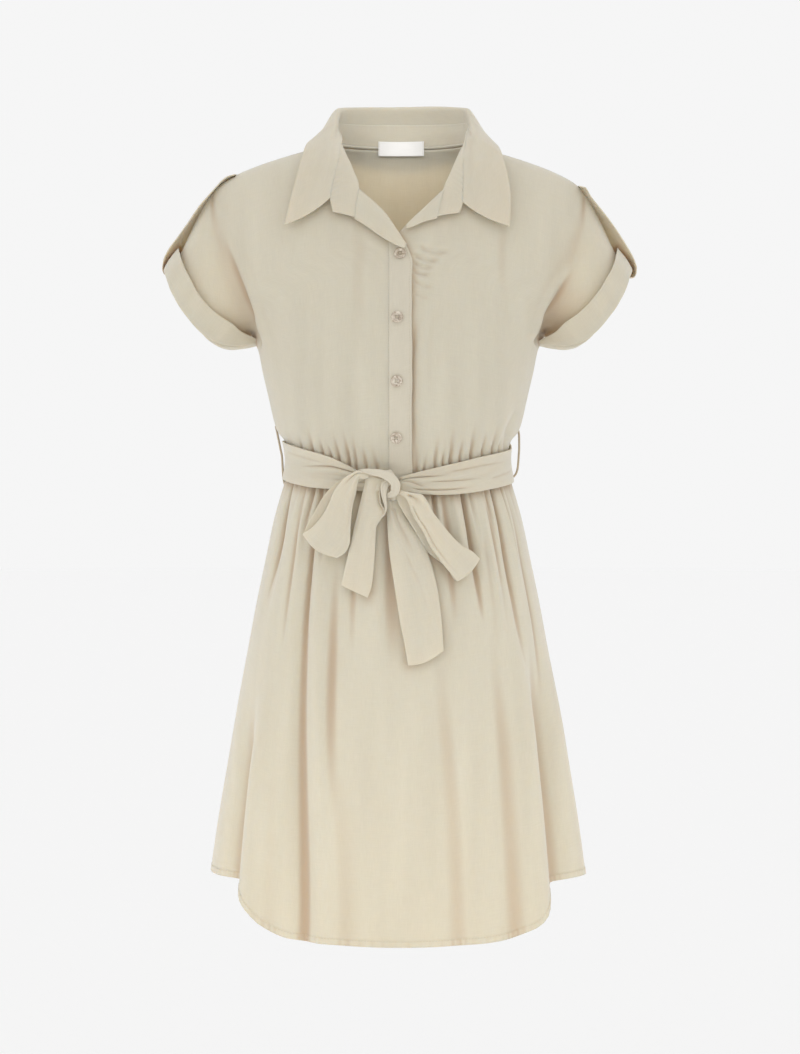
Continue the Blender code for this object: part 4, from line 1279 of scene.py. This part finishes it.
def cloth(name, points, way, look, nodes=(), thickness=CLOTH, offset=-1.0,
          upright=False):
    """A thin shell of cloth on a grid of points in millimetres.

    way gives the outward side of each point. Where the first and last columns meet, the
    shell is a tube. Its UV map is in metres of cloth, counted along its rows and columns,
    or with an upright grain for a panel that is cut from the straight of the cloth.
    """
    rows, columns = points.shape[0] - 1, points.shape[1] - 1
    lengthwise, crosswise = np.diff(points, axis=0), np.diff(points, axis=1)
    start_u, start_v = np.zeros((rows + 1, 1)), np.zeros((1, columns + 1))
    if upright:
        start_u, start_v = np.abs(points[:, :1, 0]), -points[:1, :, 2]
        lengthwise, crosswise = lengthwise[..., 1:], crosswise[..., :2]
    u = np.linalg.norm(crosswise, axis=2)
    v = np.linalg.norm(lengthwise, axis=2)
    u = start_u + np.concatenate((0 * start_u, np.cumsum(u, axis=1)), axis=1)
    v = start_v + np.concatenate((0 * start_v, np.cumsum(v, axis=0)), axis=0)
    if not upright:
        u -= u[:, columns // 2:columns // 2 + 1]
    # Painted shade: a warm shade is painted into the fold attribute, deepest in narrow
    # troughs.
    depth = painted_crease_shade(points, way)

    bm = bmesh.new()
    grid_uv = bm.loops.layers.uv.new("cloth")
    fold = bm.verts.layers.float.new("fold")
    bmesh.ops.create_grid(bm, x_segments=columns, y_segments=rows, size=0.5, calc_uvs=True)
    for vertex in bm.verts:
        column = round((vertex.co.x + 0.5) * columns)
        row = round((vertex.co.y + 0.5) * rows)
        vertex.co = points[row, column] * MM
        vertex[fold] = depth[row, column]
    for face in bm.faces:
        for loop in face.loops:
            column = round(loop[grid_uv].uv.x * columns)
            row = round(loop[grid_uv].uv.y * rows)
            loop[grid_uv].uv = (u[row, column] * MM, v[row, column] * MM)
    bmesh.ops.remove_doubles(bm, verts=bm.verts, dist=0.01 * MM)
    bm.normal_update()
    bm.faces.ensure_lookup_table()
    middle = bm.faces[len(bm.faces) // 2]
    centre = np.array(middle.calc_center_median()) / MM
    nearest = np.unravel_index(np.argmin(np.sum((points - centre) ** 2, axis=2)),
                               points.shape[:2])
    if np.dot(np.array(middle.normal), way[nearest]) < 0:
        bmesh.ops.reverse_faces(bm, faces=bm.faces)
    made = show(name, bm, look, nodes)
    wall = made.modifiers.new("wall", "SOLIDIFY")
    wall.thickness = thickness * MM
    wall.offset = offset


def deepen_painted_shade(painted_shade, number, share):
    """Bring one point's painted shade, in the fold attribute, nearer to 1 by a share."""
    painted_shade[number].value = 1 - (1 - painted_shade[number].value) * (1 - share)


def paint_contact_shade(below, above, reach):
    """Paint shade into a piece, by deepening its fold attribute, where other pieces lie
    close over it.
    """
    points = [vertex.co for piece in above for vertex in piece.data.vertices]
    tree = KDTree(len(points))
    for number, point in enumerate(points):
        tree.insert(point, number)
    tree.balance()
    painted_shade = below.data.attributes["fold"].data
    for vertex in below.data.vertices:
        distance = tree.find(vertex.co)[2] / MM
        deepen_painted_shade(painted_shade, vertex.index, 0.8 * math.exp(-(max(distance - 1.5, 0) / reach) ** 1.5))


def paint_sleeve_fold_shade(piece, breadth, start_z, hollow_shade_share):
    """Paint shade all over the hollow of a front's sleeve fold, by deepening its fold
    attribute.
    """
    painted_shade = piece.data.attributes["fold"].data
    for vertex in piece.data.vertices:
        x, z = vertex.co.x / MM, vertex.co.z / MM
        if abs(x) > SLEEVE_FOLD_INNER_X and vertex.co.y < 0:
            hollow = max(-float(sleeve_fold(x, z, breadth, start_z)), 0)
            over_hem = float(ease(-206, -197, z))
            deepen_painted_shade(painted_shade, vertex.index, hollow_shade_share * (1 - math.exp(-hollow / 3.5)) * over_hem)


def ribbon(rows, folds, steps, across):
    """A strip between the two edges of a table, crowned, creased and bent along its run."""
    at = stations(rows, steps)
    share = np.linspace(0, 1, across + 1)
    points = between(line_of(rows, "a_", at)[:, None], line_of(rows, "b_", at)[:, None],
                     share[None, :, None])
    arch = np.sin(math.pi * share)[None, :]
    run = unit(np.gradient(points, axis=0))
    sag = read(rows, "sag", at)
    down = unit(run[max(int(np.argmax(sag)) - 12, 0)])
    points = points + down[None] * sag[:, None, None] * arch[..., None]
    way = normals(points)
    if np.sum(way[:steps // 3, :, 1]) > 0:
        way = -way
    lift = (read(rows, "crown", at)[:, None] * arch
            + creases(folds, at[:, None], share[None, :]))
    return points + way * lift[..., None], way


def cord_of_cloth(rows, steps, around):
    """A gathered strap, as a tube along the rows of a table, flatter than it is wide."""
    at = stations(rows, steps)
    middle = line_of(rows, "", at)
    run = unit(np.gradient(middle, axis=0))
    side = unit(np.cross(run, FORWARD))
    out = unit(np.cross(side, run))
    angle = np.linspace(0, 2 * math.pi, around + 1)
    wide = powered(np.cos(angle), 0.8)
    groove = 0.35 * np.exp(-(np.cos(angle) - 0.25) ** 2 / 0.02)
    high = powered(np.sin(angle), 0.65) * (1 - groove)
    half, deep = (read(rows, column, at)[:, None, None] for column in ("half", "deep"))
    points = (middle[:, None] + side[:, None] * half * wide[None, :, None]
              + out[:, None] * deep * high[None, :, None])
    return points, unit(points - middle[:, None])


def stitch_row(rows, line, way, pitch=3.0, length=2.3, width=0.42):
    """Stitches along a line of points, lying on the cloth, added to rows as short meshes."""
    run = run_of(line)
    bm = bmesh.new()
    for count, at in enumerate(np.arange(pitch / 2, run[-1] - pitch / 2, pitch), start=1):
        if count % STITCHES_IN_A_MESH == 0:
            rows.append(mesh_of("stitch_row", bm))
            bm = bmesh.new()
        here = point_at(at, run, line)
        along_it = unit(point_at(at + 0.8, run, line) - here)
        out = point_at(at, run, way)
        out = unit(out - along_it * np.dot(out, along_it))
        turned = Matrix((along_it, np.cross(out, along_it), out)).transposed().to_4x4()
        turned.translation = Vector((here + out * 0.12) * MM)
        size = Matrix.Diagonal((length / 2 * MM, width / 2 * MM, width / 2.4 * MM, 1))
        bmesh.ops.create_uvsphere(bm, u_segments=6, v_segments=4, radius=1,
                                  matrix=turned @ size)
    rows.append(mesh_of("stitch_row", bm))


def show_stitches(name, rows, look):
    """One piece made of rows of stitches."""
    bm = bmesh.new()
    for mesh in rows:
        bm.from_mesh(mesh)
        bpy.data.meshes.remove(mesh)
    show(name, bm, look)


def inset_line(points, way, edge, distance):
    """A line on a grid of points, a distance in from one of its edges, with its way."""
    if edge in ("left", "right"):
        points, way = points.transpose(1, 0, 2), way.transpose(1, 0, 2)
    if edge in ("bottom", "right"):
        points, way = points[::-1], way[::-1]
    run = run_of(points)
    return (np.array([point_at(distance, run[:, column], grid[:, column])
                      for column in range(points.shape[1])]) for grid in (points, way))


def sew(rows, points, way, edges, distance, **sizes):
    """A row of stitches a distance in from each of the named edges of a grid of points."""
    for edge in edges.split():
        stitch_row(rows, *inset_line(points, way, edge, distance), **sizes)


# ---------------------------------------------------------------- the dress's pieces

def on_side(points, facing):
    """Points kept on their own side of the plane of the side seams."""
    kept = points.copy()
    kept[..., 1] = facing * np.maximum(facing * kept[..., 1], 0)
    return kept


def make_bodice(look, back_look):
    """The two fronts and the back. It gives the right front's points and outward ways."""
    right, right_way = bodice_half("right_front", -1, -1, FRONT_EDGE_RIGHT, *FRONT_GRID,
                                   DRAPES_RIGHT, 3)
    left, left_way = bodice_half("left_front", -1, 1, FRONT_EDGE_LEFT, *FRONT_GRID,
                                 DRAPES_LEFT, 4)
    right = overlap_lift(right, BAND_OVERLAP)
    cloth("right_front", on_side(right, -1), right_way, look, ["bodice_front_right"],
          upright=True)
    cloth("left_front", on_side(left, -1), left_way, look, ["bodice_front_left"],
          upright=True)
    flip = np.array((-1, 1, 1))
    whole, whole_way = (np.concatenate((half[:, :0:-1] * flip, half), axis=1) for half in
                        bodice_half("back", 1, 1, SPINE, *BACK_GRID, DRAPES_BACK, 5))
    cloth("back", on_side(whole, 1), whole_way, back_look, ["bodice_back"])
    return right, right_way


def make_skirt(look, stitches):
    """The skirt's front and back, with a row of stitches round the hem."""
    for name, cad, facing, hem, folds, seed in (
            ("skirt_front_panel", "skirt_front", -1, HEM_FRONT, FOLDS_FRONT, 11),
            ("skirt_back_panel", "skirt_back", 1, HEM_BACK, FOLDS_BACK, 12)):
        points, way = skirt(facing, hem, folds, *SKIRT_GRID, seed)
        points = on_side(points, facing)
        cloth(name, points, way, look, [cad])
        sew(stitches, points, way, "bottom", SEWN["hem"], pitch=3.2)


def make_band(front, way, look, stitches):
    """The front band on the right front, a little uneven at its free edge."""
    edge = front[-1, 0, 0]
    across = np.linspace(0, 1, 15)
    lines, ways = [], []
    for row, out in zip(front, way):
        if row[0, 2] < BAND_TOP:
            x = between(min(edge, row[:, 0].max()), edge - BAND_WIDTH, across)
            order = np.argsort(row[:, 0])
            for kept, grid in ((lines, row), (ways, out)):
                kept.append([point_at(at, row[order, 0], grid[order]) for at in x])
    points, out = np.array(lines), unit(np.array(ways))
    down = -points[..., 2]
    wave = 0.5 * np.sin(down / 9) + 0.35 * np.sin(down / 5.1 + 1)
    raised = 1.1 - 1.2 * ease(0.80, 0.98, across) + 0.5 * (1 - across) ** 2 * wave
    raised = raised - 0.35 * bell(across - 0.9, 0.04)
    points = points + out * raised[..., None]
    points[..., 0] += (1 - across) ** 3 * (0.4 * np.sin(down / 17)
                                           + 0.3 * np.sin(down / 7 + 2))
    cloth("front_band", points, out, look, ["front_band_right"], thickness=0.9)
    sew(stitches, points, out, "right", SEWN["band_fold"])
    sew(stitches, points, out, "left", SEWN["band_edge"])
    return points


def make_revers(look, stitches):
    """The turned-back tops of the two front bands."""
    share = np.linspace(0, 1, 17)
    for name, cad, rows in (("right_rever", "rever_right", REVER_RIGHT),
                            ("left_rever", "rever_left", REVER_LEFT)):
        at = stations(rows, 48)
        points = between(line_of(rows, "roll_", at)[:, None],
                         line_of(rows, "edge_", at)[:, None], share[None, :, None])
        way = facing_to(FORWARD, points)
        points += way * (1.3 * np.sin(math.pi * share ** 0.6))[None, :, None]
        cloth(name, points, way, look, [cad], offset=0.0)
        sew(stitches, points, way, "right", SEWN["rever"], pitch=2.8, length=2.1)


def laid_along(rows, count):
    """A grid of points through lines of points, evenly spaced on smooth curves."""
    grid = []
    for line in np.stack(rows, axis=1):
        run = run_of(line)
        at = np.linspace(0, run[-1], count + 1)
        grid.append(np.stack([smooth(run, line[:, axis], at) for axis in range(3)], axis=1))
    return np.array(grid)


def make_collar(look, stitches):
    """The stand from the neck to the join, and the leaf over its roll to its points."""
    at = np.linspace(0, 16, 241)
    line = collar_lines(at)
    middle = between(line["neck"], line["join"], 0.5) + np.array((0, -0.6, 0.4))
    past_join = line["join"] + 1.6 * unit(line["join"] - middle)
    stand = laid_along([line["neck"], middle, past_join], 18)
    way = normals(stand)
    pucker = 0.35 * np.sin(at * 21) * bell(at - 1.8, 1.2)
    pucker += 0.3 * np.sin(at * 23) * bell(at - 14.2, 1.2)
    stand += way * (pucker[:, None] * np.linspace(0, 1, 19)[None, :])[..., None]
    cloth("stand", stand, way, look, ["collar_stand"], thickness=COLLAR_CLOTH, offset=0.0)

    at = np.linspace(1, 15, 221)
    line = collar_lines(at)
    rise = np.linalg.norm(line["join"] - line["roll"], axis=1)
    standing = (np.clip((rise - 2) / 6, 0, 1) * ((at > 4) & (at < 12)))[:, None]
    rows = [between(between(line["join"], line["edge"], share), line[name], standing)
            for share, name in ((0.18, "roll_in"), (0.3, "roll_top"), (0.42, "roll_out"))]
    behind = ease(4, 5.5, at) * (1 - ease(10.5, 12, at))
    away = unit((line["join"] - COLLAR_MIDDLE) * LEVEL)
    rows = [line["join"] + away * 0.9 * behind[:, None], *rows,
            between(rows[-1], line["edge"], 0.5), line["edge"]]
    bow = read(COLLAR, "bow", at)[:, None] * np.array((0, -0.7, 0.7))
    rows = [row + bow * share for row, share in zip(rows, (0, 0.3, 0.6, 0.8, 0.95, 0.8))]
    leaf = laid_along(rows, 44)
    share = np.linspace(0, 1, 45)
    for end, step, bulge in ((0, 1, 5.5), (-1, -1, 4.5)):
        away = unit(leaf[end] - leaf[end + 6 * step])
        near = 1 - ease(0, 1.3, np.abs(at - at[end]))
        leaf += (near[:, None, None]
                 * (bulge * np.sin(math.pi * share ** 0.9))[None, :, None] * away)
    way = normals(leaf)
    way *= np.sign(way[110, 30, 1])
    ripple = 0.5 * np.sin(at * 2.3 + 1)[:, None] * np.sin(share * 5)[None, :]
    ripple = ripple - 0.35 * bell(share - 0.985, 0.02)[None, :]
    leaf += way * ripple[..., None]
    cloth("collar", leaf, way, look, ["collar_leaf"], thickness=COLLAR_CLOTH, offset=0.0)
    sew(stitches, leaf, way, "right top bottom", SEWN["collar"])


def make_cuffs(look):
    """The turned-up cuffs, each as a tube of its section round the sleeve's end."""
    around = np.linspace(0, 360, 217)[None, :]
    angle = np.where(around <= 180, around, 360 - around)
    front = np.where(around <= 180, -1.0, 1.0)
    swing = np.radians(around)
    hidden, shown, off = (read(CUFF_SECTION, part, stations(CUFF_SECTION, 42))[:, None]
                          for part in ("hidden", "shown", "off"))
    for name, cad, side, turn in (("right_cuff", "cuff_right", -1, 0.4),
                                  ("left_cuff", "cuff_left", 1, 1.9)):
        up = (hidden * read(SLEEVE_RING, "inside", angle)
              + shown * read(SLEEVE_RING, "outside", angle))
        up = up + shown * (0.9 * np.sin(3 * swing + turn) + 0.5 * np.sin(7 * swing))
        away = np.where(off > 0, off * (1 - 0.3 * ease(120, 180, angle)), off)
        away = away + (off > 1) * shown * (0.8 * np.sin(4 * swing + turn)
                                           + 0.4 * np.sin(9 * swing + 1))
        x, depth, z = sleeve_ring(np.broadcast_to(angle, up.shape), up, away)
        x = x - CUFF_TUCK * ease(125, 180, angle)
        points = np.stack([side * x, front * depth, z], axis=2)
        points[:, -1] = points[:, 0]
        way = normals(points)
        way[:, 0] = way[:, -1] = unit(way[:, 0] + way[:, -1])
        way *= np.sign(np.sum(way[-1] * (points[-1] - points[0].mean(axis=0))))
        cloth(name, points, way, look, [cad], offset=0.0)


def make_tabs(look, stitches):
    """The tab over each sleeve, bowed off it and turned under the cuff's fold."""
    across = np.linspace(0, 1, 19)
    for name, cad, side, rows in (("right_tab", "sleeve_tab_right", -1, TAB_RIGHT),
                                  ("left_tab", "sleeve_tab_left", 1, TAB_LEFT)):
        at = stations(rows, 90)
        x, z = (between(read(rows, f"front_{axis}", at)[:, None],
                        read(rows, f"back_{axis}", at)[:, None], across[None, :])
                for axis in "xz")
        y = (2 * across - 1) * TAB_HALF_WIDTH + 0 * x
        points = np.stack([side * x, y, z], axis=2)
        way = facing_to(np.array((side, 0, 0)), points)
        points = points + way * (0.9 * np.sin(math.pi * across) - 0.3)[None, :, None]
        cloth(name, points, way, look, [cad], offset=0.0)
        sew(stitches, points, way, "left right", SEWN["tab"])


def make_belt(look, knot_look):
    """The belt round the waist, and its bow of two loops, two tails and the knot."""
    at = np.linspace(0.02, 3.995, 341)[:, None]
    side = np.linspace(-1, 1, 45)[None, :]
    middle, half, off = (read(BELT, column, at) for column in ("drop", "half", "off"))
    drop = middle + side * half
    x, y = body_ring(np.broadcast_to(at, drop.shape), drop, off + 1.0)
    points = np.stack([x, y, -drop], axis=2)
    way = facing_to(points * LEVEL, points)
    lift = creases(BELT_CREASES, at, side) + 0.8 * (1 - side ** 2)
    lift = lift + 0.5 * rumple(at * 150 + 0 * side, side * 16 + 0 * at, 21, 60)
    points = points + way * np.maximum(lift, -DEEPEST_BELT_CREASE)[..., None]
    cloth("belt", points, way, look, ["belt_round"], thickness=BELT_CLOTH, offset=0.0)

    for name, cad, rows, folds, steps in (
            ("bow_right_loop", "bow_loop_right", LOOP_RIGHT, LOOP_RIGHT_CREASES, 220),
            ("bow_left_loop", "bow_loop_left", LOOP_LEFT, LOOP_LEFT_CREASES, 220),
            ("bow_right_tail", "bow_tail_right", TAIL_RIGHT, TAIL_RIGHT_CREASES, 130),
            ("bow_left_tail", "bow_tail_left", TAIL_LEFT, TAIL_LEFT_CREASES, 160)):
        points, way = ribbon(rows, folds, steps, 36)
        cloth(name, points, way, look, [cad], thickness=BOW_CLOTH, offset=0.0)

    for name, rows, nodes in (("bow_wrap", KNOT_WRAP, ["bow_knot"]),
                              ("bow_roll", KNOT_ROLL, []), ("bow_heart", KNOT_HEART, [])):
        points, way = cord_of_cloth(rows, 48, 40)
        cloth(name, points, way, knot_look, nodes)


def make_belt_loops(look):
    """Narrow strips folded in two and sewn, each as a flat tube."""
    across = np.array((0.0, 1.0, 0.0))
    angle = np.linspace(0, 2 * math.pi, 33)
    thick = powered(np.sin(angle), 0.5) * BELT_LOOP_HALF_THICKNESS
    wide = BELT_LOOP_HALF_WIDTH * np.cos(angle)
    for name, cad, rows in (("right_belt_loop", "belt_loop_right", BELT_LOOP_RIGHT),
                            ("left_belt_loop", "belt_loop_left", BELT_LOOP_LEFT)):
        at = stations(rows, 60)
        middle = np.stack([read(rows, "x", at), 0 * at, read(rows, "z", at)], axis=1)
        out = unit(np.cross(unit(np.gradient(middle, axis=0)), across))
        points = (middle[:, None] + across * wide[None, :, None]
                  + out[:, None] * thick[None, :, None])
        cloth(name, points, unit(points - middle[:, None]), look, [cad], thickness=0.5)


def depth_on(grid, x, z):
    """How far forward a grid of points is at a place, between its own points."""
    ordered = [row[np.argsort(row[:, 0])] for row in grid]
    y_at, z_at = ([np.interp(x, row[:, 0], row[:, axis]) for row in ordered]
                  for axis in (1, 2))
    return float(np.interp(-z, np.negative(z_at), y_at))


def turned_disc():
    """A button's disc, turned from its section."""
    bm = bmesh.new()
    turned = [bm.verts.new((share * BUTTON_WIDTH / 2 * MM, -height * BUTTON_HEIGHT * MM, 0))
              for share, height in zip(*BUTTON_SECTION.values())]
    edges = [bm.edges.new(pair) for pair in zip(turned, turned[1:])]
    bmesh.ops.spin(bm, geom=turned + edges, cent=(0, 0, 0), axis=(0, 1, 0),
                   angle=2 * math.pi, steps=56, use_merge=True)
    bmesh.ops.remove_doubles(bm, verts=bm.verts, dist=0.001 * MM)
    bmesh.ops.recalc_face_normals(bm, faces=bm.faces)
    return bm


def drill_four_holes(button):
    """Cut the four holes through a button's disc."""
    bm = bmesh.new()
    for x in (-HOLE_OFFSET, HOLE_OFFSET):
        for z in (-HOLE_OFFSET, HOLE_OFFSET):
            made = bmesh.ops.create_cone(bm, cap_ends=True, segments=20, depth=8 * MM,
                                         radius1=HOLE_RADIUS * MM, radius2=HOLE_RADIUS * MM)
            for vertex in made["verts"]:
                vertex.co = (vertex.co.x + x * MM, vertex.co.z, vertex.co.y + z * MM)
    bmesh.ops.recalc_face_normals(bm, faces=bm.faces)
    drill = put("drill", mesh_of("drill", bm))
    cut = button.modifiers.new("holes", "BOOLEAN")
    cut.operation = "DIFFERENCE"
    cut.object = drill
    bpy.context.view_layer.update()
    cut_mesh = bpy.data.meshes.new_from_object(
        button.evaluated_get(bpy.context.evaluated_depsgraph_get()))
    button.modifiers.clear()
    bpy.data.objects.remove(drill)
    button.data = cut_mesh


def tube(bm, line, radius):
    """A round thread along a line of points."""
    rings = [bmesh.ops.create_circle(bm, segments=THREAD_SIDES, radius=radius * MM)["verts"]
             for _ in line]
    for verts, centre, way in zip(rings, line, unit(np.gradient(line, axis=0))):
        turned = Vector(way).to_track_quat("Z", "X").to_matrix().to_4x4()
        turned.translation = Vector(centre * MM)
        bmesh.ops.transform(bm, matrix=turned, verts=verts)
    for first, second in zip(rings, rings[1:]):
        for corner in range(THREAD_SIDES):
            after = (corner + 1) % THREAD_SIDES
            bm.faces.new((first[corner], first[after], second[after], second[corner]))
    bm.faces.new(rings[0][::-1])
    bm.faces.new(rings[-1])


def crossed_thread():
    """Two double threads that cross between a button's holes."""
    bm = bmesh.new()
    share = np.linspace(-1, 1, 13)
    for turn in (math.radians(45), math.radians(135)):
        line = np.stack([THREAD_REACH * share * math.cos(turn),
                         -DISH_HEIGHT - 0.75 * (1 - share * share) + 0.5 * share ** 6,
                         THREAD_REACH * share * math.sin(turn)], axis=1)
        aside = np.array((-math.sin(turn), 0, math.cos(turn)))
        for shift in (-0.22, 0.22):
            tube(bm, line + aside * shift, THREAD_RADIUS)
    return bm


def make_buttons(band, pearl, thread):
    """Turned shell buttons with a raised rim, a dished middle and four sewn holes."""
    for number, (x, drop) in enumerate(zip(*BUTTONS.values()), start=1):
        above, below = (depth_on(band, x, up - drop) for up in (5, -5))
        lean = math.atan2(below - above, 10)
        back = min((above + below) / 2, depth_on(band, x, -drop)) - 0.5
        place = (Matrix.Translation((x * MM, back * MM, -drop * MM))
                 @ Matrix.Rotation(lean, 4, "X"))
        button = show(f"button_disc_{number}", turned_disc(), pearl)
        drill_four_holes(button)
        button.data.transform(place)
        button.data.set_sharp_from_angle(angle=math.radians(50))
        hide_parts(f"button_{number}")
        sewn = crossed_thread()
        sewn.transform(place)
        show(f"button_thread_{number}", sewn, thread)


def make_label(look, thread):
    """The blank label over the neck seam."""
    x = LABEL_MIDDLE_X + np.linspace(-LABEL_WIDTH / 2, LABEL_WIDTH / 2, 41)[None, :]
    z = np.linspace(LABEL_TOP, LABEL_BOTTOM, 15)[:, None]
    down = np.linspace(0, 1, 15)[:, None]
    lean = 1.2 * down ** 2 + 0.25 * np.sin(x / 5) * down
    y = LABEL_DEPTH * np.sqrt(1 - (x / LABEL_BEND) ** 2) - lean
    points = np.stack(np.broadcast_arrays(x, y, z), axis=2)
    way = facing_to(FORWARD, points)
    cloth("blank_label", points, way, look, ["neck_label"], thickness=0.4)
    sewn = []
    sew(sewn, points, way, "left right", SEWN["label"], pitch=2.0, length=1.5, width=0.3)
    show_stitches("label_stitches", sewn, thread)


def make_neck_tape(look):
    """The narrow piped tape over the neck seam."""
    neck = collar_lines(np.linspace(4.4, 11.6, 121))["neck"]
    inward = unit((COLLAR_MIDDLE - neck) * LEVEL)[None]
    share = np.linspace(0, 1, 13)[:, None, None]
    points = (neck[None] + np.array((0, 0, 1)) * (0.6 - 3.4 * share)
              + inward * (0.75 + 1.4 * np.sin(math.pi * share)))
    cloth("neck_seam_tape", points, facing_to(inward, points), look, thickness=0.5)


# Pieces that others lie close over, and how far the painted shade of the gap reaches.
PAINTED_CONTACT_SHADE = (
    ("right_front", "collar right_rever stand right_cuff", 3.5),
    ("left_front", "collar left_rever front_band stand left_cuff", 3.0),
    ("skirt_front_panel",
     "bow_right_loop bow_left_loop bow_right_tail bow_left_tail belt", 5.0),
    ("belt", "bow_right_loop bow_left_loop bow_wrap", 3.0),
    ("right_tab", "right_cuff", 3.0),
    ("left_tab", "left_cuff", 3.0),
)


def make_dress():
    """Every piece of the dress, and the painted shade in its folds and gaps."""
    linen = cloth_material("slub_linen")
    thread = thread_material()
    lit_through = cloth_material("slub_linen_lit_through", 0.9, (1.0, 0.86, 0.74))
    doubled = cloth_material("slub_linen_doubled", 0.15)
    stitches = []
    right, right_way = make_bodice(linen, lit_through)
    make_skirt(linen, stitches)
    band = make_band(right, right_way, doubled, stitches)
    make_revers(linen, stitches)
    make_collar(linen, stitches)
    make_cuffs(linen)
    make_tabs(linen, stitches)
    make_belt(linen, doubled)
    make_belt_loops(linen)
    show_stitches("seam_stitches", stitches, thread)
    make_buttons(band, button_material(), thread)
    make_label(label_material(), thread)
    make_neck_tape(linen)

    made = bpy.data.objects
    # Painted shade: the fold attribute is deepened under close pieces, all over the belt
    # loops and in the fronts' sleeve folds.
    for below, above, reach in PAINTED_CONTACT_SHADE:
        paint_contact_shade(made[below], [made[name] for name in above.split()], reach)
    # Painted shade: the belt loops are tinted warm brown all over.
    for name in ("right_belt_loop", "left_belt_loop"):
        painted_shade = made[name].data.attributes["fold"].data
        painted_shade.foreach_set("value", [BELT_LOOP_PAINTED_SHADE] * len(painted_shade))
    for name in ("right_front", "left_front"):
        paint_sleeve_fold_shade(made[name], *SLEEVE_FOLDS[name][1:])


# ---------------------------------------------------------------- stage

def shine(name, kind, place, aim, power, lit, **settings):
    """A lamp that lights one collection alone."""
    lamp = bpy.data.lights.new(name, kind)
    lamp.energy = power
    for key, value in settings.items():
        setattr(lamp, key, value)
    made = put(name, lamp)
    made.light_linking.receiver_collection = lit
    made.location = place
    turn = (Vector(aim) - Vector(place)).to_track_quat("-Z", "Y")
    made.rotation_euler = turn.to_euler()


def make_stage():
    """The floor, the sky, the lamps and the camera."""
    backdrop, tree, shader = new_material("pale_backdrop")
    fill(tree, shader, {"Base Color": (0.995, 0.995, 0.995, 1), "Roughness": 0.9})
    bm = bmesh.new()
    bmesh.ops.create_circle(bm, cap_ends=True, segments=64, radius=FLOOR_RADIUS,
                            matrix=Matrix.Translation((0, 0, FLOOR_HEIGHT)))
    mesh = mesh_of("pale_floor", bm)
    mesh.materials.append(backdrop)
    floor = put("pale_floor", mesh)

    scene = bpy.context.scene
    scene.world = bpy.data.worlds.new("studio")
    scene.world.use_nodes = True
    sky = scene.world.node_tree.nodes["Background"].inputs
    sky["Color"].default_value = (1, 1, 1, 1)
    sky["Strength"].default_value = SKY_STRENGTH

    lit = {name: bpy.data.collections.new(name) for name in ("dress", "inside_the_neck")}
    for piece in scene.collection.objects:
        if piece.type == "MESH" and piece != floor:
            lit["dress"].objects.link(piece)
    for name in ("back", "stand", "collar", "neck_seam_tape", "blank_label"):
        lit["inside_the_neck"].objects.link(bpy.data.objects[name])
    for name, place, aim, power, size in AREA_LAMPS:
        shine(name, "AREA", place, aim, power, lit["dress"], size=size)
    for name, place, aim, power, soft, angle, group in SPOT_LAMPS:
        shine(name, "SPOT", place, aim, power, lit[group], shadow_soft_size=soft,
              spot_size=math.radians(angle), spot_blend=1.0)

    lens = bpy.data.cameras.new("camera")
    lens.sensor_fit = "HORIZONTAL"
    lens.sensor_width = 36
    lens.lens = CAMERA_LENS
    lens.shift_x = CAMERA_SHIFT
    camera = put("camera", lens)
    camera.location = CAMERA_PLACE
    camera.rotation_euler = (math.pi / 2, 0, 0)
    scene.camera = camera
    scene.view_settings.view_transform = "Standard"


make_dress()
make_stage()
